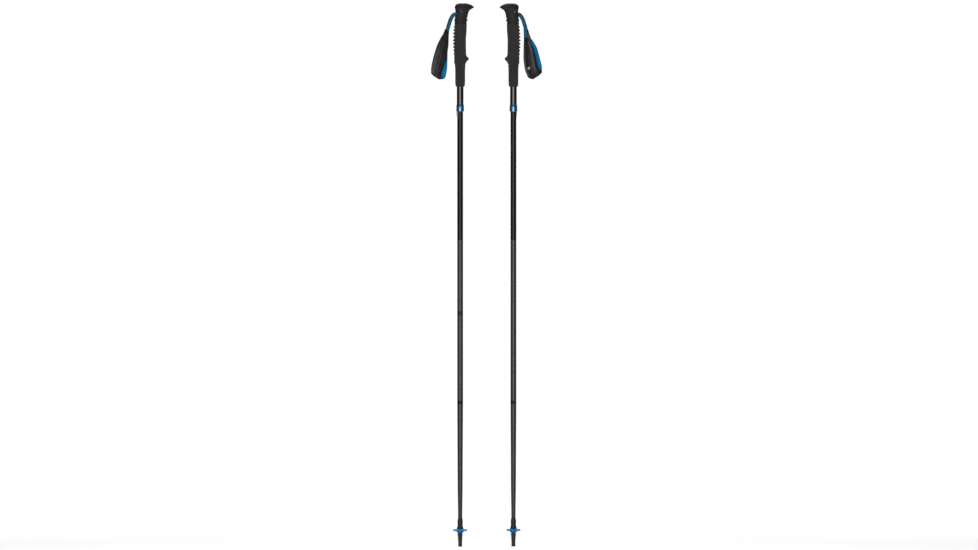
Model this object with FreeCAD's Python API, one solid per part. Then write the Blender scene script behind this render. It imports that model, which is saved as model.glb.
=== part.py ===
import FreeCAD, Part
import math
import os

# A pair of three-section folding trekking poles, standing on their tips.
# Millimetres, +Z up, origin on the ground midway between the two tips.
# Each pole is drawn about its own axis with its front (finger side) along +X.
# The left pole then moves to -X; the right pole turns half a turn about Z and
# moves to +X, so that the two fronts face each other.

Vector = FreeCAD.Vector
Y_AXIS = Vector(0, 1, 0)
Z_AXIS = Vector(0, 0, 1)

# ---------------------------------------------------------------- shared sizes
POLE_SPACING = 132.0        # between the two pole axes
GAP = 0.05                  # radial running clearance
SEAT = 0.02                 # radial clearance of a glued or seated piece
END_GAP = 0.05              # axial clearance between neighbouring faces
THROUGH = 20.0              # half length of a rod that cuts right through

# levels up the pole
Z_TIP_TOP = 31.0            # shoulder of the rubber tip
Z_BASKET_LOW = 33.6
Z_BASKET_HIGH = 41.6
Z_CUP_TOP = 68.0            # top of the ferrule
Z_JOINT_2 = 346.0           # lower folding joint
Z_JOINT_1 = 732.0           # upper folding joint
Z_CATCH_PIN = 1023.5
Z_COLLAR_LOW = 1041.0
Z_COLLAR_HIGH = 1058.0
Z_HANDLE_LOW = Z_COLLAR_LOW + 2.0
Z_SHAFT_TOP = 1085.0        # top of the upper shaft
Z_EXT_LOW = 1100.0
Z_GRIP_LOW = 1154.4
Z_GRIP_HIGH = 1251.0        # where the foam meets the head
Z_ANCHOR_TOP = 1257.4
Z_TUBE_TOP = 1262.0
Z_PIN = 1280.0              # strap pin

# radii
R_HANDLE = 8.0
R_HANDLE_IN = 7.5
R_HANDLE_FIT = R_HANDLE + SEAT      # bore of a piece seated on the handle tube
R_UPPER = 7.0
R_UPPER_IN = 6.0
R_MIDDLE = 6.95
R_MIDDLE_IN = 6.0
R_CORD = 1.2
R_KNOT = 2.6                # enlarged cord end
R_STRAP_PIN = 2.5
R_CORE = 5.5                # ferrule inside the basket
R_TIP_STEM = 3.0            # rubber tip inside the ferrule

# folding joints, measured from the joint's level
CONE_LENGTH = 28.0
TUBE_ABOVE = 2.5            # up to the foot of the tube above
TUBE_BELOW = 5.0            # down to the top of the middle shaft
CORD_ABOVE = CONE_LENGTH + 2.0      # up to the start of the cord above
CORD_BELOW = 0.3            # down to the end of the cord below


# ---------------------------------------------------------------- basic solids
def cylinder(radius, z_low, z_high, x=0.0, y=0.0):
    return Part.makeCylinder(radius, z_high - z_low, Vector(x, y, z_low), Z_AXIS)


def tube(outer, inner, z_low, z_high):
    return cylinder(outer, z_low, z_high).cut(cylinder(inner, z_low - 1, z_high + 1))


def cross_rod(radius, x, z, half_length):
    """A rod along Y, centred on the XZ plane."""
    return Part.makeCylinder(radius, 2 * half_length, Vector(x, -half_length, z), Y_AXIS)


def turned(points):
    """A closed profile of (radius, z) points turned about the pole axis."""
    corners = [Vector(radius, 0, z) for radius, z in points]
    wire = Part.makePolygon(corners + [corners[0]])
    return Part.Face(wire).revolve(Vector(0, 0, 0), Z_AXIS, 360)


def block(x_low, x_high, half_width, z_low, z_high):
    """A box centred on the XZ plane."""
    corner = Vector(x_low, -half_width, z_low)
    return Part.makeBox(x_high - x_low, 2 * half_width, z_high - z_low, corner)


def plate(points, half_width):
    """A closed profile of (x, z) points extruded along Y, centred on the XZ plane."""
    corners = [Vector(x, -half_width, z) for x, z in points]
    wire = Part.makePolygon(corners + [corners[0]])
    return Part.Face(wire).extrude(Vector(0, 2 * half_width, 0))


# ---------------------------------------------------------------- egg sections
EGG_POINTS = 28


def egg(z, rear, front, half_width, widest_x):
    """A closed curve of two half ellipses that share the half width at widest_x."""
    points = []
    for i in range(EGG_POINTS):
        angle = 2 * math.pi * i / EGG_POINTS
        cosine = math.cos(angle)
        reach = front - widest_x if cosine > 0 else widest_x - rear
        points.append(Vector(widest_x + reach * cosine, half_width * math.sin(angle), z))
    curve = Part.BSplineCurve()
    curve.interpolate(points, PeriodicFlag=True)
    return Part.Wire([curve.toShape()])


def egg_loft(sections):
    return Part.makeLoft([egg(*section) for section in sections], True, True)


# ---------------------------------------------------------------- grip head
# (z, rear x, front x, half width, x of widest point), from the foam to the dome
HEAD = [
    (Z_GRIP_HIGH, -13.6, 16.0, 13.3, 0.5),
    (1252.8, -13.4, 15.9, 13.2, 0.5),
    (1254.4, -12.8, 15.4, 12.8, 0.8),
    (1256.2, -12.8, 15.5, 12.9, 0.8),
    (1258.0, -13.8, 17.4, 13.9, 1.0),
    (1260.4, -13.8, 17.5, 13.9, 1.0),
    (1262.4, -12.6, 16.1, 13.0, 1.0),
    (1264.2, -12.5, 16.3, 13.1, 1.0),
    (1266.4, -12.4, 17.6, 13.4, 1.2),
    (1270.0, -12.2, 18.3, 13.5, 1.5),
    (1275.0, -11.7, 19.3, 13.7, 2.0),
    (1278.0, -11.4, 20.2, 13.9, 2.2),
    (1281.0, -11.3, 21.6, 14.1, 2.5),
    (1283.2, -11.5, 23.5, 14.4, 2.8),
    (1285.2, -11.8, 26.2, 14.7, 3.1),
    (1287.0, -12.3, 29.2, 15.0, 3.4),
    (1288.6, -12.8, 32.0, 15.3, 3.7),
    (1290.0, -13.1, 33.8, 15.5, 4.0),
    (1291.4, -13.1, 34.4, 15.5, 4.0),
    (1292.8, -12.8, 33.4, 15.2, 4.0),
    (1294.2, -12.1, 31.0, 14.6, 4.0),
    (1295.6, -11.1, 28.4, 13.8, 4.2),
    (1297.0, -9.6, 25.3, 12.5, 4.5),
    (1298.2, -7.4, 21.9, 10.6, 5.0),
    (1299.2, -4.2, 18.4, 8.0, 5.6),
    (1299.8, -1.0, 15.0, 5.2, 6.2),
    (1300.0, 1.0, 12.6, 3.6, 6.5),
]
# (x, z): a pocket round the strap pin that opens through the rear
STRAP_SLOT = [
    (-30, 1262), (-30, 1281.5), (-12, 1281.5), (-4, 1285.2), (4.6, 1285.2),
    (4.6, 1274.8), (-4, 1273.0), (-12, 1265.6), (-20, 1265.6),
]
SLOT_HALF_WIDTH = 6.2


def build_head():
    body = egg_loft(HEAD)
    body = body.cut(cylinder(R_HANDLE_FIT, 1240, Z_TUBE_TOP + 0.3))
    body = body.cut(cross_rod(R_STRAP_PIN + GAP, 0, Z_PIN, THROUGH))
    return body.cut(plate(STRAP_SLOT, SLOT_HALF_WIDTH))


# ---------------------------------------------------------------- foam grip
# (z, x) along the rear and the front, upwards
FOAM_REAR = [
    (Z_GRIP_LOW, -13.9), (1158, -14.6), (1163, -14.3), (1174, -14.4), (1184, -14.2),
    (1212, -14.2), (1228, -13.9), (1240, -13.4), (Z_GRIP_HIGH, -13.0),
]
FOAM_FRONT = [
    (Z_GRIP_LOW, 13.2), (1158.5, 14.6), (1162, 17.6), (1164.6, 20.4), (1167.2, 21.4),
    (1169.6, 20.2), (1172.5, 16.8), (1176, 14.9), (1180, 14.5), (1189, 14.25),
    (1203, 14.0), (1213, 14.0), (1221, 14.65), (1229, 15.1), (1237, 15.7),
    (1244, 16.0), (Z_GRIP_HIGH, 16.1),
]
FOAM_HALF_WIDTH = 13.3
FOAM_WIDEST_X = 0.5
Z_FOAM_TOP = Z_GRIP_HIGH - 0.1
MIN_STEP = 0.4              # least height between two sections

# rear ribs: (z of the crest, how far it stands out)
RIBS = [
    (1243.8, 2.0), (1235.8, 2.6), (1227.8, 3.0), (1219.7, 3.0), (1211.6, 3.0),
    (1203.4, 2.9), (1195.3, 2.7), (1187.3, 1.9), (1179.4, 0.9),
]
RIB_PITCH = 8.06
RIB_FOOT = 0.46             # crest to foot, in pitches
RIB_FLAT = 0.06             # crest to the end of its flat, in pitches


def interpolate(rows, z):
    """The x at height z in ascending rows of (z, x)."""
    for (z_low, x_low), (z_high, x_high) in zip(rows, rows[1:]):
        if z <= z_high:
            return x_low + (x_high - x_low) * (z - z_low) / (z_high - z_low)


def foam_levels():
    """Heights of the outline's points and the ribs' corners, thinned to MIN_STEP."""
    levels = {z for z, x in FOAM_FRONT + FOAM_REAR} | {Z_FOAM_TOP}
    for crest, height in RIBS:
        for pitches in (-RIB_FOOT, -RIB_FLAT, RIB_FLAT, RIB_FOOT):
            levels.add(round(crest + pitches * RIB_PITCH, 3))
    kept = []
    for z in sorted(levels):
        if z <= Z_FOAM_TOP and (not kept or z - kept[-1] > MIN_STEP):
            kept.append(z)
    return kept


def build_foam():
    sections = []
    for z in foam_levels():
        rear = interpolate(FOAM_REAR, z)
        for crest, height in RIBS:
            pitches = abs(z - crest) / RIB_PITCH
            rise = (RIB_FOOT - pitches) / (RIB_FOOT - RIB_FLAT)
            rear -= height * max(0.0, min(1.0, rise))
        front = interpolate(FOAM_FRONT, z)
        sections.append((z, rear, front, FOAM_HALF_WIDTH, FOAM_WIDEST_X))
    return egg_loft(sections).cut(cylinder(R_HANDLE_FIT, 1140, 1260))


# ---------------------------------------------------------------- grip extension
Z_EXT_TOP = Z_GRIP_LOW - 0.2
# (radius, z) of the outside, upwards
EXTENSION = [
    (9.2, Z_EXT_LOW), (10.4, 1101.0), (11.3, 1104.0), (11.75, 1108.5), (11.8, 1116.0),
    (11.9, 1134.0), (12.15, 1145.0), (12.7, 1150.6), (12.75, Z_EXT_TOP),
]


def build_extension():
    """Lower grip sleeve with a small round nub on its front."""
    body = turned([(R_HANDLE_FIT, Z_EXT_TOP), (R_HANDLE_FIT, Z_EXT_LOW)] + EXTENSION)
    nub = Part.makeSphere(1.2, Vector(11.3, 0, 1117.0))
    return body.fuse(nub.cut(cylinder(11.0, 1110, 1125))).removeSplitter()


# ---------------------------------------------------------------- handle tube
def build_handle_tube():
    return tube(R_HANDLE, R_HANDLE_IN, Z_HANDLE_LOW, Z_TUBE_TOP)


def build_collar():
    """Collar over the handle tube's foot, with a shallow groove and an inner lip."""
    lip = R_UPPER + 0.12
    z_lip_top = Z_HANDLE_LOW - END_GAP
    return turned([
        (lip, Z_COLLAR_LOW), (8.75, Z_COLLAR_LOW), (9.1, Z_COLLAR_LOW + 0.35),
        (9.2, Z_COLLAR_LOW + 1.0), (9.2, 1048.6), (8.98, 1049.1), (8.98, 1050.0),
        (9.2, 1050.5), (9.2, 1052.2), (9.05, 1053.0), (8.15, Z_COLLAR_HIGH - 0.2),
        (R_HANDLE_FIT, Z_COLLAR_HIGH), (R_HANDLE_FIT, z_lip_top), (lip, z_lip_top)])


def build_collar_bush():
    return tube(R_HANDLE_IN - SEAT, R_UPPER + GAP, Z_HANDLE_LOW + 0.1, 1060.0)


def build_stop_sleeve():
    """Sleeve on the top of the upper shaft, running inside the handle tube."""
    return tube(R_HANDLE_IN - GAP, R_UPPER + SEAT, 1060.6, Z_SHAFT_TOP)


# ---------------------------------------------------------------- cord
def build_cord_anchor():
    bore = R_CORD + SEAT
    return turned([(bore, 1240), (6.4, 1240), (7.46, 1242), (7.46, 1256),
                   (5.0, Z_ANCHOR_TOP), (bore, Z_ANCHOR_TOP)])


def build_cord_upper():
    knot = cylinder(R_KNOT, Z_ANCHOR_TOP + END_GAP, 1261.5)
    return cylinder(R_CORD, Z_JOINT_1 + CORD_ABOVE, 1258.0).fuse(knot).removeSplitter()


def build_cord_middle():
    return cylinder(R_CORD, Z_JOINT_2 + CORD_ABOVE, Z_JOINT_1 - CORD_BELOW)


def build_cord_lower():
    z_knot_top = 322.0
    knot = cylinder(R_KNOT, 316.0, z_knot_top)
    return cylinder(R_CORD, z_knot_top, Z_JOINT_2 - CORD_BELOW).fuse(knot).removeSplitter()


# ---------------------------------------------------------------- strap
STRAP_EXIT_X = -14.5        # end of the webbing at the slot's mouth
STRAP_EXIT_Z = 1271.1
STRAP_HALF_STACK = 3.4 / 2  # two webbing legs lying together
LEG_ANGLE = math.atan2(STRAP_EXIT_Z - Z_PIN, STRAP_EXIT_X)
LEG_LENGTH = math.hypot(STRAP_EXIT_Z - Z_PIN, STRAP_EXIT_X)
WEBBING_HALF_WIDTH = 4.6
LOOP_HALF_WIDTH = 5.0
BAND_HALF_WIDTH = 7.0

# (x, z), downwards; outer is the side away from the pole
WEBBING_OUTER = [
    (-22.4, 1270.4), (-26.0, 1265.6), (-28.3, 1260.8), (-30.2, 1256.0),
    (-32.0, 1251.3), (-33.6, 1246.5), (-35.6, 1241.7), (-36.8, 1238.8),
]
WEBBING_INNER = [
    (-18.0, 1265.6), (-20.4, 1260.8), (-21.8, 1256.0), (-23.4, 1251.3),
    (-25.0, 1246.5), (-26.5, 1241.7), (-27.3, 1238.8),
]
BAND_OUTER = [
    (-36.2, 1238.2), (-42.0, 1229.1), (-50.4, 1212.8), (-55.3, 1203.3),
    (-59.4, 1193.7), (-62.4, 1184.0), (-65.1, 1174.5), (-67.5, 1165.0),
    (-70.0, 1155.4), (-71.5, 1146.0), (-71.7, 1138.6), (-70.4, 1133.8),
    (-66.0, 1129.0), (-56.0, 1124.3), (-50.0, 1120.6),
]
BAND_INNER = [
    (-26.0, 1238.2), (-26.8, 1229.1), (-27.2, 1212.8), (-27.3, 1193.7),
    (-27.6, 1174.5), (-29.0, 1155.4), (-32.0, 1138.6), (-36.0, 1129.0),
    (-39.6, 1122.4), (-45.0, 1119.8),
]


def leg_point(distance, offset):
    """(x, z) at a distance from the pin towards the exit, offset downwards across it."""
    cosine, sine = math.cos(LEG_ANGLE), math.sin(LEG_ANGLE)
    return (distance * cosine - offset * sine,
            Z_PIN + distance * sine + offset * cosine)


def build_strap_pin():
    return cross_rod(R_STRAP_PIN, 0, Z_PIN, 14.2)


def build_strap_loop():
    """Webbing eye round the pin, with both legs lying together to the slot's mouth."""
    eye = cross_rod(3.95, 0, Z_PIN, LOOP_HALF_WIDTH)
    end = LEG_LENGTH - 2.3
    half = STRAP_HALF_STACK
    corners = [(0, 3.6), (6.0, half), (end, half), (end, -half), (6.0, -half), (0, -3.6)]
    legs = plate([leg_point(*corner) for corner in corners], LOOP_HALF_WIDTH)
    pin_hole = cross_rod(R_STRAP_PIN + 0.06, 0, Z_PIN, THROUGH)
    return eye.fuse(legs).cut(pin_hole).removeSplitter()


def build_strap_webbing():
    """Both legs from the rounded end at the head down to the band."""
    top = leg_point(LEG_LENGTH, -STRAP_HALF_STACK)
    low = leg_point(LEG_LENGTH, STRAP_HALF_STACK)
    body = plate([top] + WEBBING_OUTER + WEBBING_INNER[::-1] + [low], WEBBING_HALF_WIDTH)
    end = cross_rod(STRAP_HALF_STACK, STRAP_EXIT_X, STRAP_EXIT_Z, WEBBING_HALF_WIDTH)
    return body.fuse(end).removeSplitter()


def build_strap_band():
    return plate(BAND_OUTER + BAND_INNER[::-1], BAND_HALF_WIDTH)


# ---------------------------------------------------------------- catch
CATCH_HALF_WIDTH = 6.4 / 2
X_CATCH_PIN = -5.6
R_CATCH_PIN = 0.8
CATCH_PIN_HALF = 9          # half length, before trimming to the tube

# (x, z) of the wedge
CATCH = [
    (-8.75, 1040.85), (-8.55, 1040.95), (-4.6, 1040.95), (-4.6, 1030.0),
    (-4.2, 1021.2), (-6.9, 1021.2), (-6.95, 1027.0),
]
# (x, z) of the spring's outer face, upwards
SPRING = [(-5.64, 998.0), (-5.64, 1010.0), (-3.85, 1024.0), (-4.55, 1037.0)]
SPRING_THICKNESS = 0.4
SPRING_HALF_WIDTH = 1.9


def catch_pin_rod(clearance=0.0):
    return cross_rod(R_CATCH_PIN + clearance, X_CATCH_PIN, Z_CATCH_PIN, CATCH_PIN_HALF)


def catch_pin_hole():
    return catch_pin_rod(clearance=0.03)


def build_catch():
    """Release button: a wedge proud of the tube at the top, its foot on the pin."""
    body = plate(CATCH, CATCH_HALF_WIDTH)
    # round the face with the tube, so the foot's corners stay inside when pressed in
    body = body.common(turned([(0, 1015), (7.12, 1015), (7.12, 1024.0), (8.85, 1040.0),
                               (8.85, 1045), (0, 1045)]))
    return body.cut(catch_pin_hole())


def build_catch_pin():
    return catch_pin_rod().common(cylinder(R_UPPER - 0.05, 1015, 1030))


def build_catch_spring():
    """Leaf spring: foot flat on the tube's inner wall, tip behind the button."""
    inner = [(x + SPRING_THICKNESS, z) for x, z in SPRING]
    return plate(SPRING + inner[::-1], SPRING_HALF_WIDTH)


# ---------------------------------------------------------------- folding joints
def build_socket(z_joint, tube_bore):
    """Conical socket: flange at the tube's foot, cone-shaped bore, seated outside."""
    outer = tube_bore - SEAT
    flange = 6.98
    z_low = z_joint + END_GAP
    z_flange_top = z_joint + TUBE_ABOVE - END_GAP
    z_cone_top = z_joint + CONE_LENGTH + 1.0
    z_top = z_cone_top + 3.0
    return turned([
        (5.45 + GAP, z_low), (flange - 0.25, z_low), (flange, z_joint + 0.3),
        (flange, z_flange_top), (outer, z_flange_top), (outer, z_top),
        (3.05 + GAP, z_top), (3.05 + GAP, z_cone_top)])


def build_cone(z_joint):
    z_low = z_joint + END_GAP
    z_top = z_joint + CONE_LENGTH
    return turned([(0, z_low), (5.42, z_low), (5.42, z_joint + 0.5), (3.0, z_top),
                   (1.9, z_top + 0.9), (0, z_top + 0.9)])


def top_ring(z_joint, outside):
    """Ring in the tube below a joint; outside is (radius, depth) points, downwards."""
    profile = [(2.0, END_GAP)] + outside + [(5.0, outside[-1][1]), (5.0, 3.0), (2.0, 2.0)]
    return turned([(radius, z_joint - depth) for radius, depth in profile])


def build_middle_top_ring():
    seated = R_MIDDLE_IN - SEAT
    step = TUBE_BELOW - END_GAP
    return top_ring(Z_JOINT_1, [
        (6.6, END_GAP), (7.05, 0.5), (7.05, step), (seated, step), (seated, 22.0)])


def build_lower_top_ring():
    return top_ring(Z_JOINT_2, [
        (6.55, END_GAP), (7.0, 0.5), (7.0, 4.1), (6.9, 4.5), (5.95, 4.5), (5.8, 20.0)])


# ---------------------------------------------------------------- shafts
# (radius, z) of the lower shaft's outside, downwards
LOWER_SHAFT = [
    (6.88, 341.4), (6.82, 314.0), (6.68, 290.0), (6.54, 266.0), (6.42, 242.0),
    (6.3, 218.0), (6.2, 194.0), (6.09, 170.0), (5.94, 146.0), (5.68, 122.0),
    (5.3, 98.0), (5.06, 80.0), (4.93, 68.0), (4.93, 47.0),
]
LOWER_WALL = 0.85


def build_upper_shaft():
    """Tube with a window for the catch in its rear and a hole for the catch pin."""
    body = tube(R_UPPER, R_UPPER_IN, Z_JOINT_1 + TUBE_ABOVE, Z_SHAFT_TOP)
    body = body.cut(block(-9, -3, CATCH_HALF_WIDTH + 0.15, Z_CATCH_PIN - 3.2, 1041.4))
    return body.cut(catch_pin_hole())


def build_middle_shaft():
    return tube(R_MIDDLE, R_MIDDLE_IN, Z_JOINT_2 + TUBE_ABOVE, Z_JOINT_1 - TUBE_BELOW)


def build_lower_shaft():
    """Tapered tube: smooth curves inside and out, a constant wall apart in radius."""
    outer = [Vector(radius, 0, z) for radius, z in LOWER_SHAFT]
    inner = [Vector(radius - LOWER_WALL, 0, z) for radius, z in LOWER_SHAFT]
    outer_curve = Part.BSplineCurve()
    outer_curve.interpolate(outer)
    inner_curve = Part.BSplineCurve()
    inner_curve.interpolate(inner[::-1])
    edges = [outer_curve.toShape(), Part.makeLine(outer[-1], inner[-1]),
             inner_curve.toShape(), Part.makeLine(inner[0], outer[0])]
    return Part.Face(Part.Wire(edges)).revolve(Vector(0, 0, 0), Z_AXIS, 360)


# ---------------------------------------------------------------- tip and basket
R_BASKET = 16.2
BASKET_LOBES = 10
R_SCALLOP = 2.4
SCALLOP_CENTRES = R_BASKET + 1.0    # radius of the circle of scallop centres


def build_tip_ferrule():
    """Cup round the shaft's foot, a skirt, and a core that carries basket and tip."""
    cup = LOWER_SHAFT[-1][0] + SEAT
    stem = R_TIP_STEM + GAP
    return turned([
        (cup, Z_CUP_TOP), (5.25, Z_CUP_TOP), (6.2, 62.4), (6.35, 61.6), (6.35, 58.0),
        (6.15, 52.0), (6.15, 49.6), (6.9, 46.6), (8.3, 43.0), (8.3, 42.0),
        (R_CORE, 42.0), (R_CORE, 33.0), (5.3, 31.2), (stem, 31.2), (stem, 44.0),
        (2.6, 46.6), (cup, 46.8)])


def build_rubber_tip():
    body = turned([
        (0, 0), (4.3, 0), (4.65, 0.35), (4.65, 12.4), (5.0, 13.2), (5.2, 21.0),
        (5.7, 27.4), (6.3, 28.2), (6.3, 30.6), (6.0, Z_TIP_TOP),
        (R_TIP_STEM, Z_TIP_TOP), (R_TIP_STEM, 43.0), (0, 43.0)])
    # crossed grooves in the sole
    for angle in (0, 90):
        groove = block(-6, 6, 0.35, -1, 0.8)
        groove.rotate(Vector(0, 0, 0), Z_AXIS, angle)
        body = body.cut(groove)
    return body


def build_basket():
    """Scalloped disc with a thick hub that turns on the ferrule's core."""
    hub = tube(8.6, R_CORE + GAP, Z_BASKET_LOW, Z_BASKET_HIGH)
    disc = turned([(8.0, 36.6), (R_BASKET, 37.6), (R_BASKET, 39.8), (15.4, 40.3),
                   (8.0, 39.6)])
    body = hub.fuse(disc)
    for i in range(BASKET_LOBES):
        angle = 2 * math.pi * (i + 0.5) / BASKET_LOBES
        body = body.cut(cylinder(R_SCALLOP, 30, 45, SCALLOP_CENTRES * math.cos(angle),
                                 SCALLOP_CENTRES * math.sin(angle)))
    return body.removeSplitter()


# ---------------------------------------------------------------- both poles
PIECES = {
    "grip_head": build_head(),
    "strap_pin": build_strap_pin(),
    "strap_anchor_loop": build_strap_loop(),
    "grip_foam": build_foam(),
    "grip_extension": build_extension(),
    "handle_tube": build_handle_tube(),
    "lock_collar": build_collar(),
    "collar_bush": build_collar_bush(),
    "cord_anchor": build_cord_anchor(),
    "cord_upper": build_cord_upper(),
    "strap_webbing": build_strap_webbing(),
    "strap_band": build_strap_band(),
    "upper_shaft": build_upper_shaft(),
    "stop_sleeve": build_stop_sleeve(),
    "upper_socket": build_socket(Z_JOINT_1, R_UPPER_IN),
    "catch_button": build_catch(),
    "catch_pin": build_catch_pin(),
    "catch_spring": build_catch_spring(),
    "joint_cone_1": build_cone(Z_JOINT_1),
    "middle_shaft": build_middle_shaft(),
    "middle_top_ring": build_middle_top_ring(),
    "middle_socket": build_socket(Z_JOINT_2, R_MIDDLE_IN),
    "cord_middle": build_cord_middle(),
    "joint_cone_2": build_cone(Z_JOINT_2),
    "lower_shaft": build_lower_shaft(),
    "lower_top_ring": build_lower_top_ring(),
    "cord_lower": build_cord_lower(),
    "tip_ferrule": build_tip_ferrule(),
    "rubber_tip": build_rubber_tip(),
    "basket": build_basket(),
}

os.makedirs("parts", exist_ok=True)
for name, shape in PIECES.items():
    left = shape.copy()
    left.translate(Vector(-POLE_SPACING / 2, 0, 0))
    left.exportStep("parts/left_" + name + ".step")
    right = shape.copy()
    right.rotate(Vector(0, 0, 0), Z_AXIS, 180)
    right.translate(Vector(POLE_SPACING / 2, 0, 0))
    right.exportStep("parts/right_" + name + ".step")
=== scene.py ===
"""A pair of folding trekking poles standing upright, tips down, on a pale floor.

Each pole is drawn in its own frame in millimetres: the axis is Z through the origin, the
finger side is +X (front) and the strap side is -X (rear). The CAD handle tubes give the
place of each pole; the right pole is the left one turned half a turn about Z.
"""
import bpy, bmesh, math
import numpy as np
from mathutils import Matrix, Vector

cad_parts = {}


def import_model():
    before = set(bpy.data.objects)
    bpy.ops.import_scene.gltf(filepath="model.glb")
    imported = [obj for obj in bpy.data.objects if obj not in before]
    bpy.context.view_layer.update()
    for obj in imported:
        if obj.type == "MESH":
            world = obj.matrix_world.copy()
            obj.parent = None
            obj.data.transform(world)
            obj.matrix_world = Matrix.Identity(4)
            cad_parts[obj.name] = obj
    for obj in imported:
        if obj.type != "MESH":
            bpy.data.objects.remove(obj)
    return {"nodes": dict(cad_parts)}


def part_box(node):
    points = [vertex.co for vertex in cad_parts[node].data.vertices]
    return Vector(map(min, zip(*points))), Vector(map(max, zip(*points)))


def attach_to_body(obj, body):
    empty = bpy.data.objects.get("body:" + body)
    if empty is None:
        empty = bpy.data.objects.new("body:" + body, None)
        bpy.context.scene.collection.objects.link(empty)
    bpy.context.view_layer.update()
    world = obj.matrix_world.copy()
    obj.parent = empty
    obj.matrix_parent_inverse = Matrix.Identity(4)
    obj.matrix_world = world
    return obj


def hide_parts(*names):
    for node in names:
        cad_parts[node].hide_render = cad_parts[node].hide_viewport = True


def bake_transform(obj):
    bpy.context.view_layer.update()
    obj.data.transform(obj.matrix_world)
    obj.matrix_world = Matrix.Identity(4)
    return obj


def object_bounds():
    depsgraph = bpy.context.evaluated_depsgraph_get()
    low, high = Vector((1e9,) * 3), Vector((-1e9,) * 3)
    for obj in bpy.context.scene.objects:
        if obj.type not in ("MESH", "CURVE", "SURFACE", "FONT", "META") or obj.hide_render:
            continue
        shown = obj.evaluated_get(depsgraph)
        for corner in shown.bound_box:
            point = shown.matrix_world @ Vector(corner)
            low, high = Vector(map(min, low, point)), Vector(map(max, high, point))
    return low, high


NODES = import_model()["nodes"]
CAD_LO, CAD_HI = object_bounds()

SIDES = ("left", "right")
AXIS = {}                      # side: axis x, axis y (metres), sign of the pole's X and Y
for side_name in SIDES:
    tube_lo, tube_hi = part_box(side_name + "_handle_tube")
    AXIS[side_name] = ((tube_lo.x + tube_hi.x) / 2, (tube_lo.y + tube_hi.y) / 2,
                       1.0 if side_name == "left" else -1.0)

# Driving sizes, in millimetres
EXTENSION_BOTTOM, EXTENSION_TOP = 1100.0, 1154.2
FOAM_BOTTOM, FOAM_TOP = 1154.4, 1250.9
HEAD_BOTTOM, HEAD_TOP = 1251.0, 1300.0
HANDLE_BORE = 8.03             # bore radius of the grip parts
BORE_TOP = 1262.3              # where the bore ends inside the head
PIN_Z = 1280.0                 # height of the strap's cross pin, which lies along Y
BAND_TOP = 1237.0              # where the wrist band's legs end
FOLD_RADIUS = 5.2              # of the wrist band's turn at the bottom
CORD_RADIUS = 1.2


# ============================================================= numbers and curves
def to_world(side, points):
    """Millimetres in a pole's frame to metres in the world."""
    axis_x, axis_y, sign = AXIS[side]
    p = np.asarray(points, float).reshape(-1, 3)
    return np.stack([axis_x + sign * p[:, 0] / 1000, axis_y + sign * p[:, 1] / 1000,
                     p[:, 2] / 1000], 1)


def pchip(table, x):
    """Smooth interpolation that never overshoots, in rows of (x, value)."""
    rows = np.array(sorted(table), float)
    xs, ys = rows[:, 0], rows[:, 1]
    x = np.clip(np.asarray(x, float), xs[0], xs[-1])
    step = np.diff(xs)
    slope = np.diff(ys) / step
    tangent = np.zeros_like(ys)
    tangent[0], tangent[-1] = slope[0], slope[-1]
    for i in range(1, len(xs) - 1):
        if slope[i - 1] * slope[i] > 0:
            before, after = 2 * step[i] + step[i - 1], step[i] + 2 * step[i - 1]
            tangent[i] = (before + after) / (before / slope[i - 1] + after / slope[i])
    i = np.clip(np.searchsorted(xs, x, side="right") - 1, 0, len(step) - 1)
    t = (x - xs[i]) / step[i]
    return ((2 * t ** 3 - 3 * t ** 2 + 1) * ys[i]
            + (t ** 3 - 2 * t ** 2 + t) * step[i] * tangent[i]
            + (-2 * t ** 3 + 3 * t ** 2) * ys[i + 1]
            + (t ** 3 - t ** 2) * step[i] * tangent[i + 1])


def smooth(start, end, x):
    """Rises from 0 at start to 1 at end, with level ends; start may be above end."""
    t = np.clip((np.asarray(x, float) - start) / (end - start), 0, 1)
    return t * t * (3 - 2 * t)


def bell(x, width):
    return np.exp(-(np.asarray(x, float) / width) ** 2)


def interpolate(x, xs, points):
    """A 3D point at x along points given at xs."""
    return np.array([np.interp(x, xs, points[:, k]) for k in range(3)])


def run_lengths(path):
    """Distance along a polyline at each of its points."""
    return np.concatenate([[0], np.cumsum(np.linalg.norm(np.diff(path, axis=0), axis=1))])


def unit(vector):
    return vector / max(np.linalg.norm(vector), 1e-9)


def relax(points, start, stop, passes):
    """Eases points[start:stop] towards their neighbours, in place."""
    for _ in range(passes):
        points[start:stop] = (points[start:stop] * 0.5
                              + (points[start - 1:stop - 1] + points[start + 1:stop + 1]) * 0.25)


def catmull(points, step=0.8):
    """A Catmull-Rom curve through 2D points, sampled about every step."""
    p = np.array(points, float)
    p = np.vstack([2 * p[0] - p[1], p, 2 * p[-1] - p[-2]])
    out = []
    for i in range(1, len(p) - 2):
        count = max(2, int(np.linalg.norm(p[i + 1] - p[i]) / step))
        for k in range(count):
            t = k / count
            out.append(0.5 * (2 * p[i] + (-p[i - 1] + p[i + 1]) * t
                              + (2 * p[i - 1] - 5 * p[i] + 4 * p[i + 1] - p[i + 2]) * t * t
                              + (-p[i - 1] + 3 * p[i] - 3 * p[i + 1] + p[i + 2]) * t ** 3))
    out.append(p[-2])
    return np.array(out)


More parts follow.
